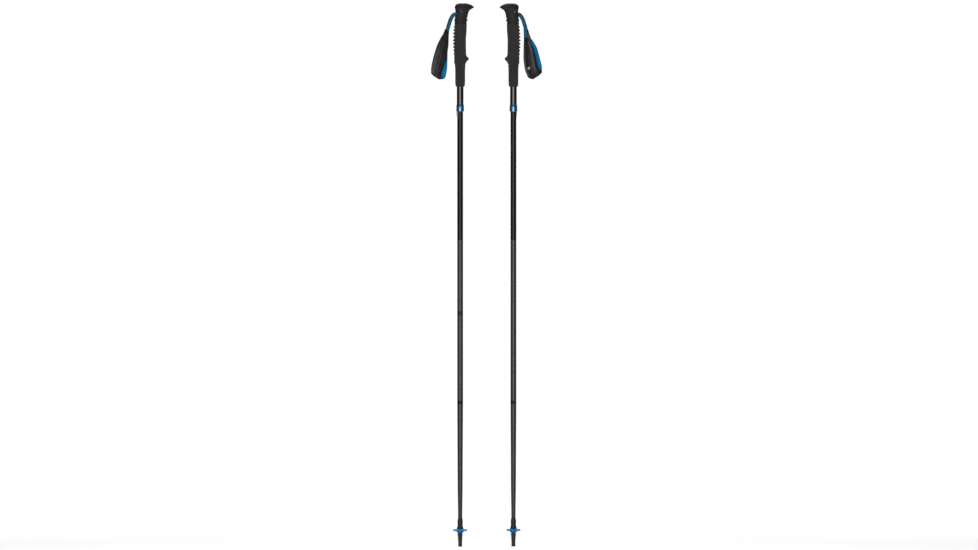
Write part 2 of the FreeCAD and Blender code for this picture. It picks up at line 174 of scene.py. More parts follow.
def fillet(points, radius, steps):
    """An open profile with its corners rounded."""
    out = [points[0]]
    for before, corner, after in zip(points, points[1:], points[2:]):
        before, corner, after = map(np.array, (before, corner, after))
        back, ahead = before - corner, after - corner
        back_length, ahead_length = np.linalg.norm(back), np.linalg.norm(ahead)
        reach = min(radius, back_length * 0.45, ahead_length * 0.45)
        first = corner + back / back_length * reach
        last = corner + ahead / ahead_length * reach
        for k in range(steps + 1):
            t = k / steps
            out.append(tuple((1 - t) ** 2 * first + 2 * t * (1 - t) * corner + t * t * last))
    out.append(points[-1])
    return [tuple(map(float, p)) for p in out]


def rounded_square(count, power):
    """Points of a square of half side 1; a lower power gives tighter corners."""
    out = []
    for i in range(count):
        angle = 2 * math.pi * i / count
        c, s = math.cos(angle), math.sin(angle)
        out.append((math.copysign(abs(c) ** power, c), math.copysign(abs(s) ** power, s)))
    return out


def mirrored(half):
    """A profile of (radius, height) from its lower half, mirrored at height 0."""
    return half + [(radius, -height) for radius, height in reversed(half)]


# ============================================================= mesh building
def angles(count):
    return 2 * np.pi * np.arange(count) / count


def ring(radius, z, turn):
    """Points round the axis; radius and z may be single values or one per angle."""
    return np.stack([radius * np.cos(turn), radius * np.sin(turn), z + 0 * turn], 1)


def strip_faces(rows, cols):
    """Quads of a grid of rows x cols points, row-major, closed round the columns."""
    faces = []
    for r in range(rows - 1):
        for c in range(cols):
            c2 = (c + 1) % cols
            faces.append((r * cols + c, r * cols + c2, (r + 1) * cols + c2, (r + 1) * cols + c))
    return faces


def torus_faces(rows, cols):
    """strip_faces, with the last row also joined to the first."""
    last = (rows - 1) * cols
    return strip_faces(rows, cols) + [
        (i, last + i, last + (i + 1) % cols, (i + 1) % cols) for i in range(cols)]


def bridge(rows):
    """Faces between successive closed rows of indices; a row of one index is a pole."""
    faces = []
    for a, b in zip(rows, rows[1:]):
        count = max(len(a), len(b))
        for i in range(count):
            j = (i + 1) % count
            if len(a) == 1:
                faces.append((a[0], b[i], b[j]))
            elif len(b) == 1:
                faces.append((a[i], b[0], a[j]))
            else:
                faces.append((a[i], b[i], b[j], a[j]))
    return faces


def lathe(profile, count):
    """Points and faces of (radius, height) turned about Z. A radius of 0 makes a pole."""
    verts, rows = [], []
    for radius, z in profile:
        start = len(verts)
        if radius < 1e-6:
            verts.append((0, 0, z))
        else:
            for i in range(count):
                angle = 2 * math.pi * i / count
                verts.append((radius * math.cos(angle), radius * math.sin(angle), z))
        rows.append(list(range(start, len(verts))))
    return verts, bridge(rows)


def lathe_on_pin(profile):
    """A lathed shape laid along Y on the cross pin's axis."""
    verts, faces = lathe(profile, 40)
    return [(x, z, PIN_Z + y) for x, y, z in verts], faces


def sheet(across, along, columns):
    """Faces and UVs of a thick strip whose closed rows run over `columns` points on one face
    and back under the other. across is in mm per point, along in mm per row."""
    rows, loop = across.shape
    faces = strip_faces(rows, loop)
    for row in (0, rows - 1):
        start = row * loop
        top = [start + c for c in range(columns)]
        under = [start] + [start + loop - c for c in range(1, columns - 1)] + [top[-1]]
        for c in range(columns - 1):
            # the two edges share their points, so the outermost faces are triangles
            face = list(dict.fromkeys([top[c], top[c + 1], under[c + 1], under[c]]))
            faces.append(tuple(face if row else face[::-1]))
    uv = [(across[i // loop, i % loop], along[i // loop]) for face in faces for i in face]
    return faces, uv


def crisp(mesh, sharp):
    """Smooth shading, with edges over the sharp angle (degrees) kept crisp."""
    bm = bmesh.new()
    bm.from_mesh(mesh)
    bmesh.ops.recalc_face_normals(bm, faces=bm.faces)
    limit = math.radians(sharp)
    for face in bm.faces:
        face.smooth = True
    for edge in bm.edges:
        edge.smooth = not (len(edge.link_faces) == 2 and edge.calc_face_angle(0) > limit)
    bm.to_mesh(mesh)
    bm.free()
    mesh.update()


def make(side, name, verts, faces, materials, sharp, index=None, uv=None):
    """An object from local points. index is a material index per face, uv one per loop."""
    name = side + "_" + name
    mesh = bpy.data.meshes.new(name)
    mesh.from_pydata([tuple(p) for p in to_world(side, verts)], [],
                     [tuple(int(i) for i in face) for face in faces])
    mesh.update()
    for material in materials:
        mesh.materials.append(material)
    if index is not None:
        mesh.polygons.foreach_set("material_index", np.asarray(index, np.int32))
    if uv is not None:
        layer = mesh.uv_layers.new(name="UVMap")
        layer.data.foreach_set("uv", np.asarray(uv, np.float32).ravel())
    ob = bpy.data.objects.new(name, mesh)
    bpy.context.scene.collection.objects.link(ob)
    crisp(mesh, sharp)
    return ob


def attach(ob, side, part, slot, *replaced):
    """Fixes ob to a moving part, in place of the named CAD pieces."""
    if replaced:
        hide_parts(*(side + "_" + piece for piece in replaced))
    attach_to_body(ob, side + "_" + part)


def cut(ob, side, cutter_verts, cutter_faces):
    """Takes a closed cutter out of ob."""
    mesh = bpy.data.meshes.new("cutter")
    mesh.from_pydata([tuple(p) for p in to_world(side, cutter_verts)], [], cutter_faces)
    mesh.update()
    bm = bmesh.new()
    bm.from_mesh(mesh)
    bmesh.ops.recalc_face_normals(bm, faces=bm.faces)
    bm.to_mesh(mesh)
    bm.free()
    cutter = bpy.data.objects.new("cutter", mesh)
    bpy.context.scene.collection.objects.link(cutter)
    modifier = ob.modifiers.new("cut", "BOOLEAN")
    modifier.operation = "DIFFERENCE"
    modifier.object = cutter
    modifier.solver = "EXACT"
    bpy.context.view_layer.update()
    evaluated = ob.evaluated_get(bpy.context.evaluated_depsgraph_get())
    result = bpy.data.meshes.new_from_object(evaluated)
    ob.modifiers.clear()
    result.name = ob.name
    old = ob.data
    ob.data = result
    bpy.data.meshes.remove(old)
    bpy.data.objects.remove(cutter)
    bpy.data.meshes.remove(mesh)


# ============================================================= materials
def scaled(color, factor):
    return tuple(x * factor for x in color)


class Shader:
    """A short way to write a node material. Texture scales are per metre."""

    SOCKETS = {"color": "Base Color", "rough": "Roughness", "metal": "Metallic",
               "normal": "Normal", "coat": "Coat Weight", "coat_rough": "Coat Roughness",
               "sheen": "Sheen Weight", "sheen_rough": "Sheen Roughness",
               "sheen_tint": "Sheen Tint", "spec": "Specular IOR Level"}

    def __init__(self, name):
        self.material = bpy.data.materials.new(name)
        self.material.use_nodes = True
        self.tree = self.material.node_tree
        self.tree.nodes.clear()
        self.output = self.node("OutputMaterial")
        self.principled = self.node("BsdfPrincipled")
        self.put(self.output.inputs[0], self.principled.outputs[0])

    def put(self, socket, value):
        """Links a socket to another, or gives it a value."""
        if isinstance(value, bpy.types.NodeSocket):
            self.tree.links.new(value, socket)
            return
        if socket.type == "RGBA":
            value = (*value, 1.0)
        socket.default_value = value

    def node(self, kind, inputs=None, **props):
        node = self.tree.nodes.new("ShaderNode" + kind)
        for name, value in props.items():
            setattr(node, name, value)
        for key, value in (inputs or {}).items():
            self.put(node.inputs[key], value)
        return node

    def position(self):
        return self.node("TexCoord").outputs["Object"]

    def stretched(self, scale=(1, 1, 1)):
        return self.node("Mapping", {"Vector": self.position(), "Scale": scale}).outputs[0]

    def height(self):
        return self.node("SeparateXYZ", {0: self.position()}).outputs[2]

    def uv(self):
        """The U and V sockets, in millimetres across and along a fabric."""
        uv_map = self.node("UVMap", uv_map="UVMap").outputs[0]
        return self.node("SeparateXYZ", {0: uv_map}).outputs[:2]

    def noise(self, scale, vector=None, detail=3.0, rough=0.55, distortion=0.0):
        return self.node("TexNoise", {
            "Vector": vector or self.stretched(), "Scale": scale, "Detail": detail,
            "Roughness": rough, "Distortion": distortion}).outputs[0]

    def voronoi(self, scale, feature="F1"):
        return self.node("TexVoronoi", {"Vector": self.stretched(), "Scale": scale},
                         feature=feature).outputs[0]

    def math(self, operation, a, b, clamp=False):
        return self.node("Math", {0: a, 1: b}, operation=operation, use_clamp=clamp).outputs[0]

    def add(self, a, b):
        return self.math("ADD", a, b)

    def times(self, a, b, clamp=False):
        return self.math("MULTIPLY", a, b, clamp)

    def absolute(self, a):
        return self.math("ABSOLUTE", a, 0.0)

    def wave(self, a, frequency):
        return self.math("SINE", self.times(a, frequency), 0.0)

    def remap(self, value, span, to=(0.0, 1.0)):
        """Maps span linearly onto to, clamped at both ends."""
        return self.node("MapRange", {"Value": value, "From Min": span[0], "From Max": span[1],
                                      "To Min": to[0], "To Max": to[1]}).outputs[0]

    def mix(self, factor, a, b):
        node = self.node("Mix", data_type="RGBA")
        for socket, value in ((0, factor), (6, a), (7, b)):      # 6 and 7 are the colour pair
            self.put(node.inputs[socket], value)
        return node.outputs[2]

    def bump(self, height, strength, distance, normal=None):
        inputs = {"Height": height, "Strength": strength, "Distance": distance}
        if normal is not None:
            inputs["Normal"] = normal
        return self.node("Bump", inputs).outputs[0]

    def set(self, **values):
        for name, value in values.items():
            self.put(self.principled.inputs[self.SOCKETS[name]], value)
        return self.material


def foam_material(name, base, dark, light, pore=1500.0, rough=0.86):
    """Closed-cell foam: fine pores darkened as painted shade, soft mottling, and a painted
    highlight on the fine grain's high spots.
    """
    g = Shader(name)
    big = g.noise(scale=55.0, detail=2.0)
    mid = g.noise(scale=420.0, detail=4.0)
    fine = g.noise(scale=2600.0, detail=2.0)
    pores = g.voronoi(scale=pore)
    color = g.mix(g.remap(mid, span=(0.35, 0.65)), dark, base)
    color = g.mix(g.times(g.remap(big, span=(0.45, 0.75)), 0.35), color, light)
    # painted shade: the pores' hollows are darkened towards black
    color = g.mix(g.remap(pores, span=(0.0, 0.35), to=(0.45, 0.0)), color,
                  (0.006, 0.006, 0.006))
    # painted highlight: lighter specks where the fine grain stands highest
    color = g.mix(g.remap(fine, span=(0.62, 0.8), to=(0.0, 0.4)), color, light)
    height = g.add(g.times(g.remap(pores, span=(0.0, 0.5)), 0.6), g.times(fine, 0.6))
    normal = g.bump(height, strength=0.75, distance=0.00022)
    normal = g.bump(mid, strength=0.12, distance=0.0006, normal=normal)
    roughness = g.remap(mid, span=(0.3, 0.7), to=(rough - 0.07, rough + 0.06))
    return g.set(color=color, rough=roughness, normal=normal, sheen=0.12, sheen_rough=0.6,
                 spec=0.35)


def rubber_material(name, base, light, rough, grain=1900.0, bump=0.25, spec=0.45):
    """Moulded rubber with a fine leather-like grain, its pits darkened as painted shade."""
    g = Shader(name)
    cells = g.voronoi(scale=grain, feature="SMOOTH_F1")
    soft = g.noise(scale=130.0)
    fine = g.noise(scale=3200.0, detail=2.0)
    color = g.mix(g.remap(soft, span=(0.35, 0.7)), base, light)
    # painted shade: the grain's pits, where the cells are lowest, are darkened
    color = g.mix(g.remap(cells, span=(0.0, 0.6), to=(0.35, 0.0)), color, scaled(base, 0.35))
    height = g.add(g.times(cells, 0.7), g.times(fine, 0.35))
    normal = g.bump(height, strength=bump, distance=0.00018)
    roughness = g.remap(soft, span=(0.3, 0.7), to=(rough - 0.1, rough + 0.12))
    return g.set(color=color, rough=roughness, normal=normal, spec=spec)


def tube_material(name, base, light, rough, metal, streak, spec, coat=0.0, scuff_z=None,
                  scuff=None, band=None):
    """A drawn tube: lengthwise hairlines, faint cloudiness, optional scratches that fade out
    over the heights scuff_z, and an optional band of (low, high, colour). Heights in metres."""
    g = Shader(name)
    hair = g.noise(scale=3400.0, vector=g.stretched((1, 1, 0.012)), rough=0.7)
    cloud = g.noise(scale=42.0, vector=g.stretched((1, 1, 0.25)))
    grit = g.noise(scale=5200.0, detail=1.0)
    color = g.mix(g.remap(hair, span=(0.3, 0.7)), base, light)
    color = g.mix(g.remap(cloud, span=(0.35, 0.75), to=(0.0, 0.3)), color, scaled(base, 0.55))
    roughness = g.add(g.remap(hair, span=(0.25, 0.75), to=(rough - 0.05, rough + 0.07)),
                      g.remap(cloud, span=(0.3, 0.7), to=(-0.02, 0.03)))
    if scuff_z is not None:
        low = g.remap(g.height(), span=scuff_z, to=(1.0, 0.0))
        nick = g.noise(scale=900.0, vector=g.stretched((1, 1, 0.35)), detail=4.0, rough=0.75)
        mask = g.times(g.remap(nick, span=(0.62, 0.7)), low, clamp=True)
        color = g.mix(mask, color, scuff)
        roughness = g.add(roughness, g.times(mask, 0.2))
    if band is not None:
        bottom, top, band_color = band
        z = g.height()
        inside = g.times(g.math("GREATER_THAN", z, bottom), g.math("LESS_THAN", z, top))
        color = g.mix(inside, color, band_color)
        roughness = g.add(roughness, g.times(inside, 0.08))
    normal = g.bump(hair, strength=streak * 0.16, distance=0.00001)
    normal = g.bump(grit, strength=0.02, distance=0.00001, normal=normal)
    return g.set(color=color, rough=roughness, metal=metal, normal=normal, coat=coat,
                 coat_rough=0.06, spec=spec)


def turned_material(name, base, light, rough, coat=0.0):
    """A turned metal part: rings round the axis and a slightly mottled skin."""
    g = Shader(name)
    rings = g.noise(scale=2600.0, vector=g.stretched((0.02, 0.02, 1)), detail=2.0, rough=0.6)
    skin = g.noise(scale=700.0)
    color = g.mix(g.remap(rings, span=(0.35, 0.65)), base, light)
    color = g.mix(g.remap(skin, span=(0.45, 0.75), to=(0.0, 0.35)), color,
                  tuple(min(1, x * 1.5 + 0.01) for x in light))
    roughness = g.remap(rings, span=(0.3, 0.7), to=(rough - 0.06, rough + 0.08))
    normal = g.bump(rings, strength=0.2, distance=0.00002)
    normal = g.bump(skin, strength=0.05, distance=0.00003, normal=normal)
    return g.set(color=color, rough=roughness, metal=1.0, normal=normal, coat=coat,
                 coat_rough=0.12)


def plastic_material(name, base, light, rough, bump=0.2, scuff=None, grain=2200.0, spec=0.5):
    """Moulded plastic: spark-eroded grain, flow mottling, optional pale rubbed spots."""
    g = Shader(name)
    grains = g.noise(scale=grain, detail=2.0, rough=0.7)
    flow = g.noise(scale=160.0, vector=g.stretched((1, 1, 0.6)), distortion=0.6)
    color = g.mix(g.remap(flow, span=(0.35, 0.7)), base, light)
    roughness = g.add(g.remap(grains, span=(0.3, 0.7), to=(rough - 0.08, rough + 0.1)),
                      g.remap(flow, span=(0.3, 0.7), to=(-0.03, 0.04)))
    if scuff is not None:
        mask = g.remap(g.noise(scale=1100.0, detail=5.0, rough=0.8), span=(0.63, 0.72))
        color = g.mix(g.times(mask, 0.7), color, scuff)
        roughness = g.add(roughness, g.times(mask, 0.15))
    normal = g.bump(grains, strength=bump, distance=0.00008)
    return g.set(color=color, rough=roughness, normal=normal, spec=spec)


def webbing_material(name, base, dark, light, pitch=0.62):
    """Woven tape: a herringbone of raised yarns, in UV millimetres."""
    g = Shader(name)
    u, v = g.uv()
    # the twill direction flips at the middle of the tape
    diagonal = g.add(g.times(g.absolute(u), 0.9), v)
    yarn = g.wave(diagonal, 2 * math.pi / pitch)
    cross = g.wave(u, 2 * math.pi / (pitch * 1.1))
    height = g.add(g.times(yarn, 0.5), g.times(cross, 0.35))
    fuzz = g.noise(scale=4200.0, detail=2.0)
    cloud = g.noise(scale=120.0)
    height = g.add(height, g.times(fuzz, 0.5))
    # painted shade between the yarns and painted highlight on their tops, from the yarn height
    color = g.mix(g.remap(height, span=(-0.5, 0.9)), dark, base)
    color = g.mix(g.remap(height, span=(0.45, 1.1), to=(0.0, 0.6)), color, light)
    color = g.mix(g.remap(cloud, span=(0.4, 0.8), to=(0.0, 0.3)), color, dark)
    normal = g.bump(height, strength=0.6, distance=0.00012)
    return g.set(color=color, rough=g.remap(fuzz, span=(0.3, 0.7), to=(0.62, 0.82)),
                 normal=normal, sheen=0.35, sheen_rough=0.4, sheen_tint=light, spec=0.35)


def knit_material(name, base, dark, light, pitch, sheen, spec, rough=0.8, depth=0.00016,
                  holes=False):
    """Knitted face fabric: staggered loops, in UV millimetres; holes adds a regular
    pattern of small dents, darkened as painted shade."""
    g = Shader(name)
    u, v = g.uv()
    frequency = 2 * math.pi / pitch
    columns = g.wave(u, frequency)
    column = g.math("FLOOR", g.math("DIVIDE", u, pitch), 0.0)
    shift = g.times(g.math("MODULO", column, 2.0), math.pi)     # every other column
    courses = g.math("SINE", g.add(g.times(v, frequency * 0.8), shift), 0.0)
    loops = g.times(g.absolute(columns), g.add(g.times(courses, 0.5), 0.5))
    fuzz = g.noise(scale=3800.0, detail=2.0)
    cloud = g.noise(scale=75.0)
    height = g.add(loops, g.times(fuzz, 0.45))
    # painted shade between the loops and painted highlight on their tops, from the loop height
    color = g.mix(g.remap(height, span=(0.15, 1.0)), dark, base)
    color = g.mix(g.remap(height, span=(0.75, 1.25), to=(0.0, 0.5)), color, light)
    color = g.mix(g.remap(cloud, span=(0.42, 0.72), to=(0.0, 0.35)), color, light)
    if holes:
        hole_frequency = 2 * math.pi / 2.0                      # a wave every 2 mm
        dots = g.times(g.wave(u, hole_frequency), g.wave(v, hole_frequency))
        hole = g.remap(dots, span=(0.55, 0.8))
        # painted shade in the holes
        color = g.mix(g.times(hole, 0.7), color, dark)
        height = g.math("SUBTRACT", height, g.times(hole, 0.9))
    normal = g.bump(height, strength=0.5, distance=depth)
    roughness = g.remap(fuzz, span=(0.3, 0.7), to=(rough - 0.08, rough + 0.08))
    return g.set(color=color, rough=roughness, normal=normal, sheen=sheen, sheen_rough=0.45,
                 sheen_tint=light, spec=spec)


def thread_material(name, base, light):
    """Sewing thread with a fine twist."""
    g = Shader(name)
    twist = g.noise(scale=5200.0, detail=2.0)
    color = g.mix(g.remap(twist, span=(0.35, 0.65)), base, light)
    normal = g.bump(twist, strength=0.4, distance=0.00006)
    return g.set(color=color, rough=0.6, normal=normal, sheen=0.2)


def cord_material(name, base, light):
    """Cord with wavy diagonal strands and a little fuzz."""
    g = Shader(name)
    strands = g.node("TexWave", {"Vector": g.position(), "Scale": 260.0, "Distortion": 2.0,
                                 "Detail": 1.0}, bands_direction="DIAGONAL").outputs[1]
    fuzz = g.noise(scale=2800.0, detail=2.0)
    height = g.add(strands, g.times(fuzz, 0.5))
    # painted highlight: the raised strands are lighter
    color = g.mix(g.remap(height, span=(0.2, 1.1)), base, light)
    normal = g.bump(height, strength=0.5, distance=0.00012)
    return g.set(color=color, rough=0.65, normal=normal, sheen=0.2)


GRIP_FOAM = foam_material("grip_foam", base=(0.0225, 0.0185, 0.0195),
                          dark=(0.0165, 0.0135, 0.0143), light=(0.036, 0.030, 0.0315))
EXTENSION_FOAM = foam_material("extension_foam", base=(0.0215, 0.0175, 0.0188),
                               dark=(0.016, 0.013, 0.0138), light=(0.035, 0.029, 0.0305),
                               pore=1250.0)
HEAD_RUBBER = rubber_material("head_rubber", base=(0.0215, 0.0170, 0.0183),
                              light=(0.029, 0.0235, 0.025), rough=0.68, spec=0.22)
CROWN_RUBBER = rubber_material("head_crown_rubber", base=(0.0155, 0.0125, 0.0137),
                               light=(0.0225, 0.0185, 0.0195), rough=0.6, grain=1500.0,
                               spec=0.22)
GLOSS_TUBE = tube_material("handle_tube_gloss", base=(0.0060, 0.0050, 0.0053),
                           light=(0.0090, 0.0078, 0.0082), rough=0.14, metal=0.0,
                           streak=0.12, coat=0.25, spec=0.5)
SATIN_TUBE = tube_material("upper_shaft_satin", base=(0.0085, 0.0075, 0.0078),
                           light=(0.012, 0.0105, 0.011), rough=0.19, metal=0.0,
                           streak=0.25, spec=0.17)
GREY_ANODISING = dict(base=(0.049, 0.0395, 0.0500), light=(0.063, 0.0515, 0.0645),
                      rough=0.25, metal=0.38, streak=0.45, spec=0.2)
GREY_TUBE = tube_material("grey_anodised", scuff_z=(0.07, 0.42), scuff=(0.10, 0.095, 0.10),
                          **GREY_ANODISING)
BANDED_TUBE = tube_material("grey_anodised_band", band=(0.553, 0.563, (0.0225, 0.0175, 0.0225)),
                            **GREY_ANODISING)
COLLAR_BLUE = turned_material("collar_blue_anodised", base=(0.045, 0.150, 0.30),
                              light=(0.060, 0.190, 0.37), rough=0.33, coat=1.0)
PIN_STEEL = turned_material("pin_steel", base=(0.115, 0.11, 0.11),
                            light=(0.16, 0.155, 0.155), rough=0.45)
CATCH_STEEL = turned_material("catch_steel", base=(0.26, 0.265, 0.27),
                              light=(0.34, 0.345, 0.35), rough=0.45)
SPRING_STEEL = turned_material("spring_steel", base=(0.30, 0.31, 0.33),
                               light=(0.42, 0.43, 0.45), rough=0.32)
BRIGHT_RING = turned_material("bright_ring", base=(0.050, 0.044, 0.047),
                              light=(0.070, 0.062, 0.066), rough=0.32)
DARK_RING = turned_material("dark_ring", base=(0.0125, 0.0105, 0.0125),
                            light=(0.018, 0.0155, 0.018), rough=0.38)
BLACK_PLASTIC = plastic_material("black_plastic", base=(0.017, 0.0165, 0.0175),
                                 light=(0.024, 0.023, 0.024), rough=0.6,
                                 scuff=(0.055, 0.053, 0.053), spec=0.3)
BUSH_PLASTIC = plastic_material("bush_plastic", base=(0.018, 0.018, 0.019),
                                light=(0.028, 0.028, 0.03), rough=0.36)
TIP_RUBBER = rubber_material("tip_rubber", base=(0.0215, 0.020, 0.020),
                             light=(0.031, 0.028, 0.028), rough=0.68, grain=1300.0, bump=0.35)
BASKET_BLUE = plastic_material("basket_blue", base=(0.0012, 0.200, 0.590),
                               light=(0.002, 0.250, 0.68), rough=0.5, bump=0.15,
                               scuff=(0.01, 0.30, 0.70), grain=1700.0, spec=0.1)
WEBBING = webbing_material("strap_webbing_blue", base=(0.0075, 0.125, 0.240),
                           dark=(0.0020, 0.050, 0.115), light=(0.026, 0.22, 0.37))
# painted shade: a darker webbing for the one tape edge that lies in shade
WEBBING_EDGE_SHADE = webbing_material("strap_webbing_painted_edge_shade", base=(0.0035, 0.022, 0.045),
                            dark=(0.0015, 0.010, 0.022), light=(0.012, 0.05, 0.09))
BAND_OUTSIDE = knit_material("wrist_band_black", base=(0.0120, 0.0095, 0.0125),
                             dark=(0.0060, 0.0048, 0.0062), light=(0.024, 0.0195, 0.026),
                             pitch=0.85, rough=0.36, sheen=0.02, spec=0.30, depth=0.00004)
BAND_LINING = knit_material("wrist_band_lining", base=(0.0030, 0.240, 0.530),
                            dark=(0.0010, 0.11, 0.28), light=(0.008, 0.34, 0.66),
                            pitch=0.8, holes=True, sheen=0.0, spec=0.12)
BLACK_THREAD = thread_material("thread_black", base=(0.014, 0.013, 0.014),
                               light=(0.04, 0.037, 0.04))
BLUE_THREAD = thread_material("thread_blue", base=(0.006, 0.10, 0.22),
                              light=(0.03, 0.20, 0.36))
LABEL = plastic_material("plain_label", base=(0.26, 0.26, 0.30), light=(0.36, 0.36, 0.40),
                         rough=0.5, bump=0.1, spec=0.3)
CORD = cord_material("tension_cord", base=(0.22, 0.22, 0.23), light=(0.45, 0.45, 0.46))

# CAD piece (without its side) and its material
PAINT = {
    "handle_tube": GLOSS_TUBE, "lock_collar": COLLAR_BLUE, "collar_bush": BUSH_PLASTIC,
    "cord_anchor": BLACK_PLASTIC, "upper_shaft": SATIN_TUBE, "stop_sleeve": BUSH_PLASTIC,
    "upper_socket": DARK_RING, "catch_pin": PIN_STEEL, "catch_spring": SPRING_STEEL,
    "catch_button": CATCH_STEEL, "joint_cone_1": BLACK_PLASTIC, "joint_cone_2": BLACK_PLASTIC,
    "middle_shaft": GREY_TUBE, "middle_top_ring": BRIGHT_RING, "middle_socket": DARK_RING,
    "cord_middle": CORD, "lower_shaft": GREY_TUBE, "lower_top_ring": DARK_RING,
    "cord_lower": CORD, "tip_ferrule": BLACK_PLASTIC, "rubber_tip": TIP_RUBBER,
    "strap_pin": PIN_STEEL, "basket": BASKET_BLUE, "grip_head": HEAD_RUBBER,
    "grip_foam": GRIP_FOAM, "grip_extension": EXTENSION_FOAM, "strap_webbing": WEBBING,
    "strap_band": BAND_OUTSIDE, "strap_anchor_loop": WEBBING, "cord_upper": CORD,
}


def paint(node, material):
    ob = NODES[node]
    if not ob.data.materials:
        ob.data.materials.append(material)
    for i in range(len(ob.data.materials)):
        ob.data.materials[i] = material
    for slot in ob.material_slots:
        slot.material = material


def paint_cad(side):
    for piece, material in PAINT.items():
        if side == "left" and piece == "middle_shaft":
            material = BANDED_TUBE
        paint(side + "_" + piece, material)


# ============================================================= grip head
# height, rear x, front x, half width in y, x of the section's centre
HEAD = [
    (1251.0, -13.6, 16.0, 13.3, 0.5), (1252.8, -13.4, 15.9, 13.2, 0.5),
    (1254.4, -12.8, 15.4, 12.8, 0.8), (1256.2, -12.8, 15.5, 12.9, 0.8),
    (1258.0, -14.0, 18.0, 14.1, 1.0), (1260.4, -14.0, 18.1, 14.1, 1.0),
    (1262.4, -12.6, 16.1, 13.0, 1.0), (1264.2, -12.5, 16.3, 13.1, 1.0),
    (1266.4, -12.4, 17.6, 13.4, 1.2), (1270.0, -12.2, 18.3, 13.5, 1.5),
    (1275.0, -11.7, 19.3, 13.7, 2.0), (1278.0, -11.4, 20.2, 13.9, 2.2),
    (1281.0, -11.3, 21.6, 14.1, 2.5), (1283.2, -11.5, 23.5, 14.4, 2.8),
    (1285.2, -11.8, 26.2, 14.7, 3.1), (1287.0, -12.3, 29.2, 15.0, 3.4),
    (1288.6, -12.8, 32.0, 15.3, 3.7), (1290.0, -13.1, 33.8, 15.5, 4.0),
    (1291.4, -13.1, 34.4, 15.5, 4.0), (1292.8, -12.8, 33.4, 15.2, 4.0),
    (1294.2, -12.1, 31.0, 14.6, 4.0), (1295.6, -11.1, 28.4, 13.8, 4.2),
    (1297.0, -9.6, 25.3, 12.5, 4.5), (1298.2, -7.4, 21.9, 10.6, 5.0),
    (1299.2, -4.2, 18.4, 8.0, 5.6), (1299.8, -1.0, 15.0, 5.2, 6.2),
    (1300.0, 1.0, 12.6, 3.6, 6.5),
]
HEAD_TOP_X = 6.8               # x of the point that closes the top
# lower half of the pin hole, with its countersink: radius, y
PIN_HOLE = [(0, -15.4), (3.35, -15.4), (3.2, -14.1), (2.56, -13.2)]
# strap slot, from outside the head inwards: x, half width in y, bottom z, top z
STRAP_SLOT = [
    (-22.0, 7.1, 1263.6, 1283.2), (-12.9, 7.0, 1264.0, 1282.9), (-12.0, 6.35, 1265.4, 1281.8),
    (-11.0, 6.15, 1266.3, 1281.4), (-4.0, 6.1, 1273.0, 1285.0), (4.6, 6.1, 1274.8, 1285.0),
]
PIN_HALF_LENGTH = 14.2
# turned end of the pin, with its dimple: radius, depth in from the end
PIN_END = [(0, 0.35), (0.7, 0.3), (0.95, 0.02), (1.1, 0), (2.1, 0), (2.35, 0.12), (2.5, 0.45)]


def grid_normals(p):
    """Outward normals of a grid of points that closes along its second axis."""
    up = np.gradient(p, axis=0)
    around = np.roll(p, -1, axis=1) - np.roll(p, 1, axis=1)
    n = np.cross(around, up)
    return n / np.maximum(np.linalg.norm(n, axis=2, keepdims=True), 1e-9)


def crown_seam(x):
    """Height of the seam under the crown; it climbs at the front and a little at the rear."""
    return 1290.7 + 3.3 * smooth(17, 30, x) + 0.8 * smooth(-6, -13, x)


def head_surface(turn):
    zs = np.unique(np.round(np.concatenate([
        np.arange(HEAD_BOTTOM, 1287.0, 0.45), np.arange(1287.0, 1298.0, 0.22),
        np.arange(1298.0, HEAD_TOP, 0.14), [HEAD_BOTTOM, HEAD_TOP]]), 3))
    zs = zs[np.diff(zs, prepend=0) > 0.05]
    rear, front, half_width, centre = (
        pchip([(row[0], row[k]) for row in HEAD], zs)[:, None] for k in (1, 2, 3, 4))
    cos, sin = np.cos(turn)[None, :], np.sin(turn)[None, :]
    x = np.where(cos > 0, centre + (front - centre) * cos, centre + (centre - rear) * cos)
    y = half_width * np.sign(sin) * np.abs(sin) ** 0.92      # squarer than an ellipse
    z = np.broadcast_to(zs[:, None], x.shape)
    p = np.stack([x, y, z], 2).astype(float)
    # displacement along the normal
    lift = -0.85 * bell(z - crown_seam(x), width=0.5)
    pad_edge = 1296.5 - 0.5 * smooth(10, 26, x)
    lift += 0.30 * smooth(-0.5, 0.3, z - pad_edge) - 0.30    # raised pad on the crown
    lift += 0.30 * (1 - smooth(1288, 1291, z))               # full size below the crown
    # a soft line down each side of the front
    lift += (-0.35 * bell(np.abs(y) - 6.4, width=0.7) * (cos > 0)
             * smooth(1266, 1270, z) * (1 - smooth(1284, 1289, z)))
    lift += 0.012 * np.sin(x * 7.1 + z * 3.3)                # slight unevenness
    p = p + grid_normals(p) * lift[:, :, None]
    p[-1, :, 2] = np.maximum(p[-1, :, 2], HEAD_TOP - 0.1)
    return p


def slot_cutter():
    """Rounded mouth that flares at the surface and opens into a pocket round the pin."""
    outline = rounded_square(40, power=0.5)
    count = len(outline)
    verts = []
    for x, half_width, bottom, top in STRAP_SLOT:
        middle, half_height = (bottom + top) / 2, (top - bottom) / 2
        verts += [(x, half_width * a, middle + half_height * b) for a, b in outline]
    faces = strip_faces(len(STRAP_SLOT), count)
    faces.append(tuple(range(count)))
    faces.append(tuple(reversed(range(len(verts) - count, len(verts)))))
    return verts, faces


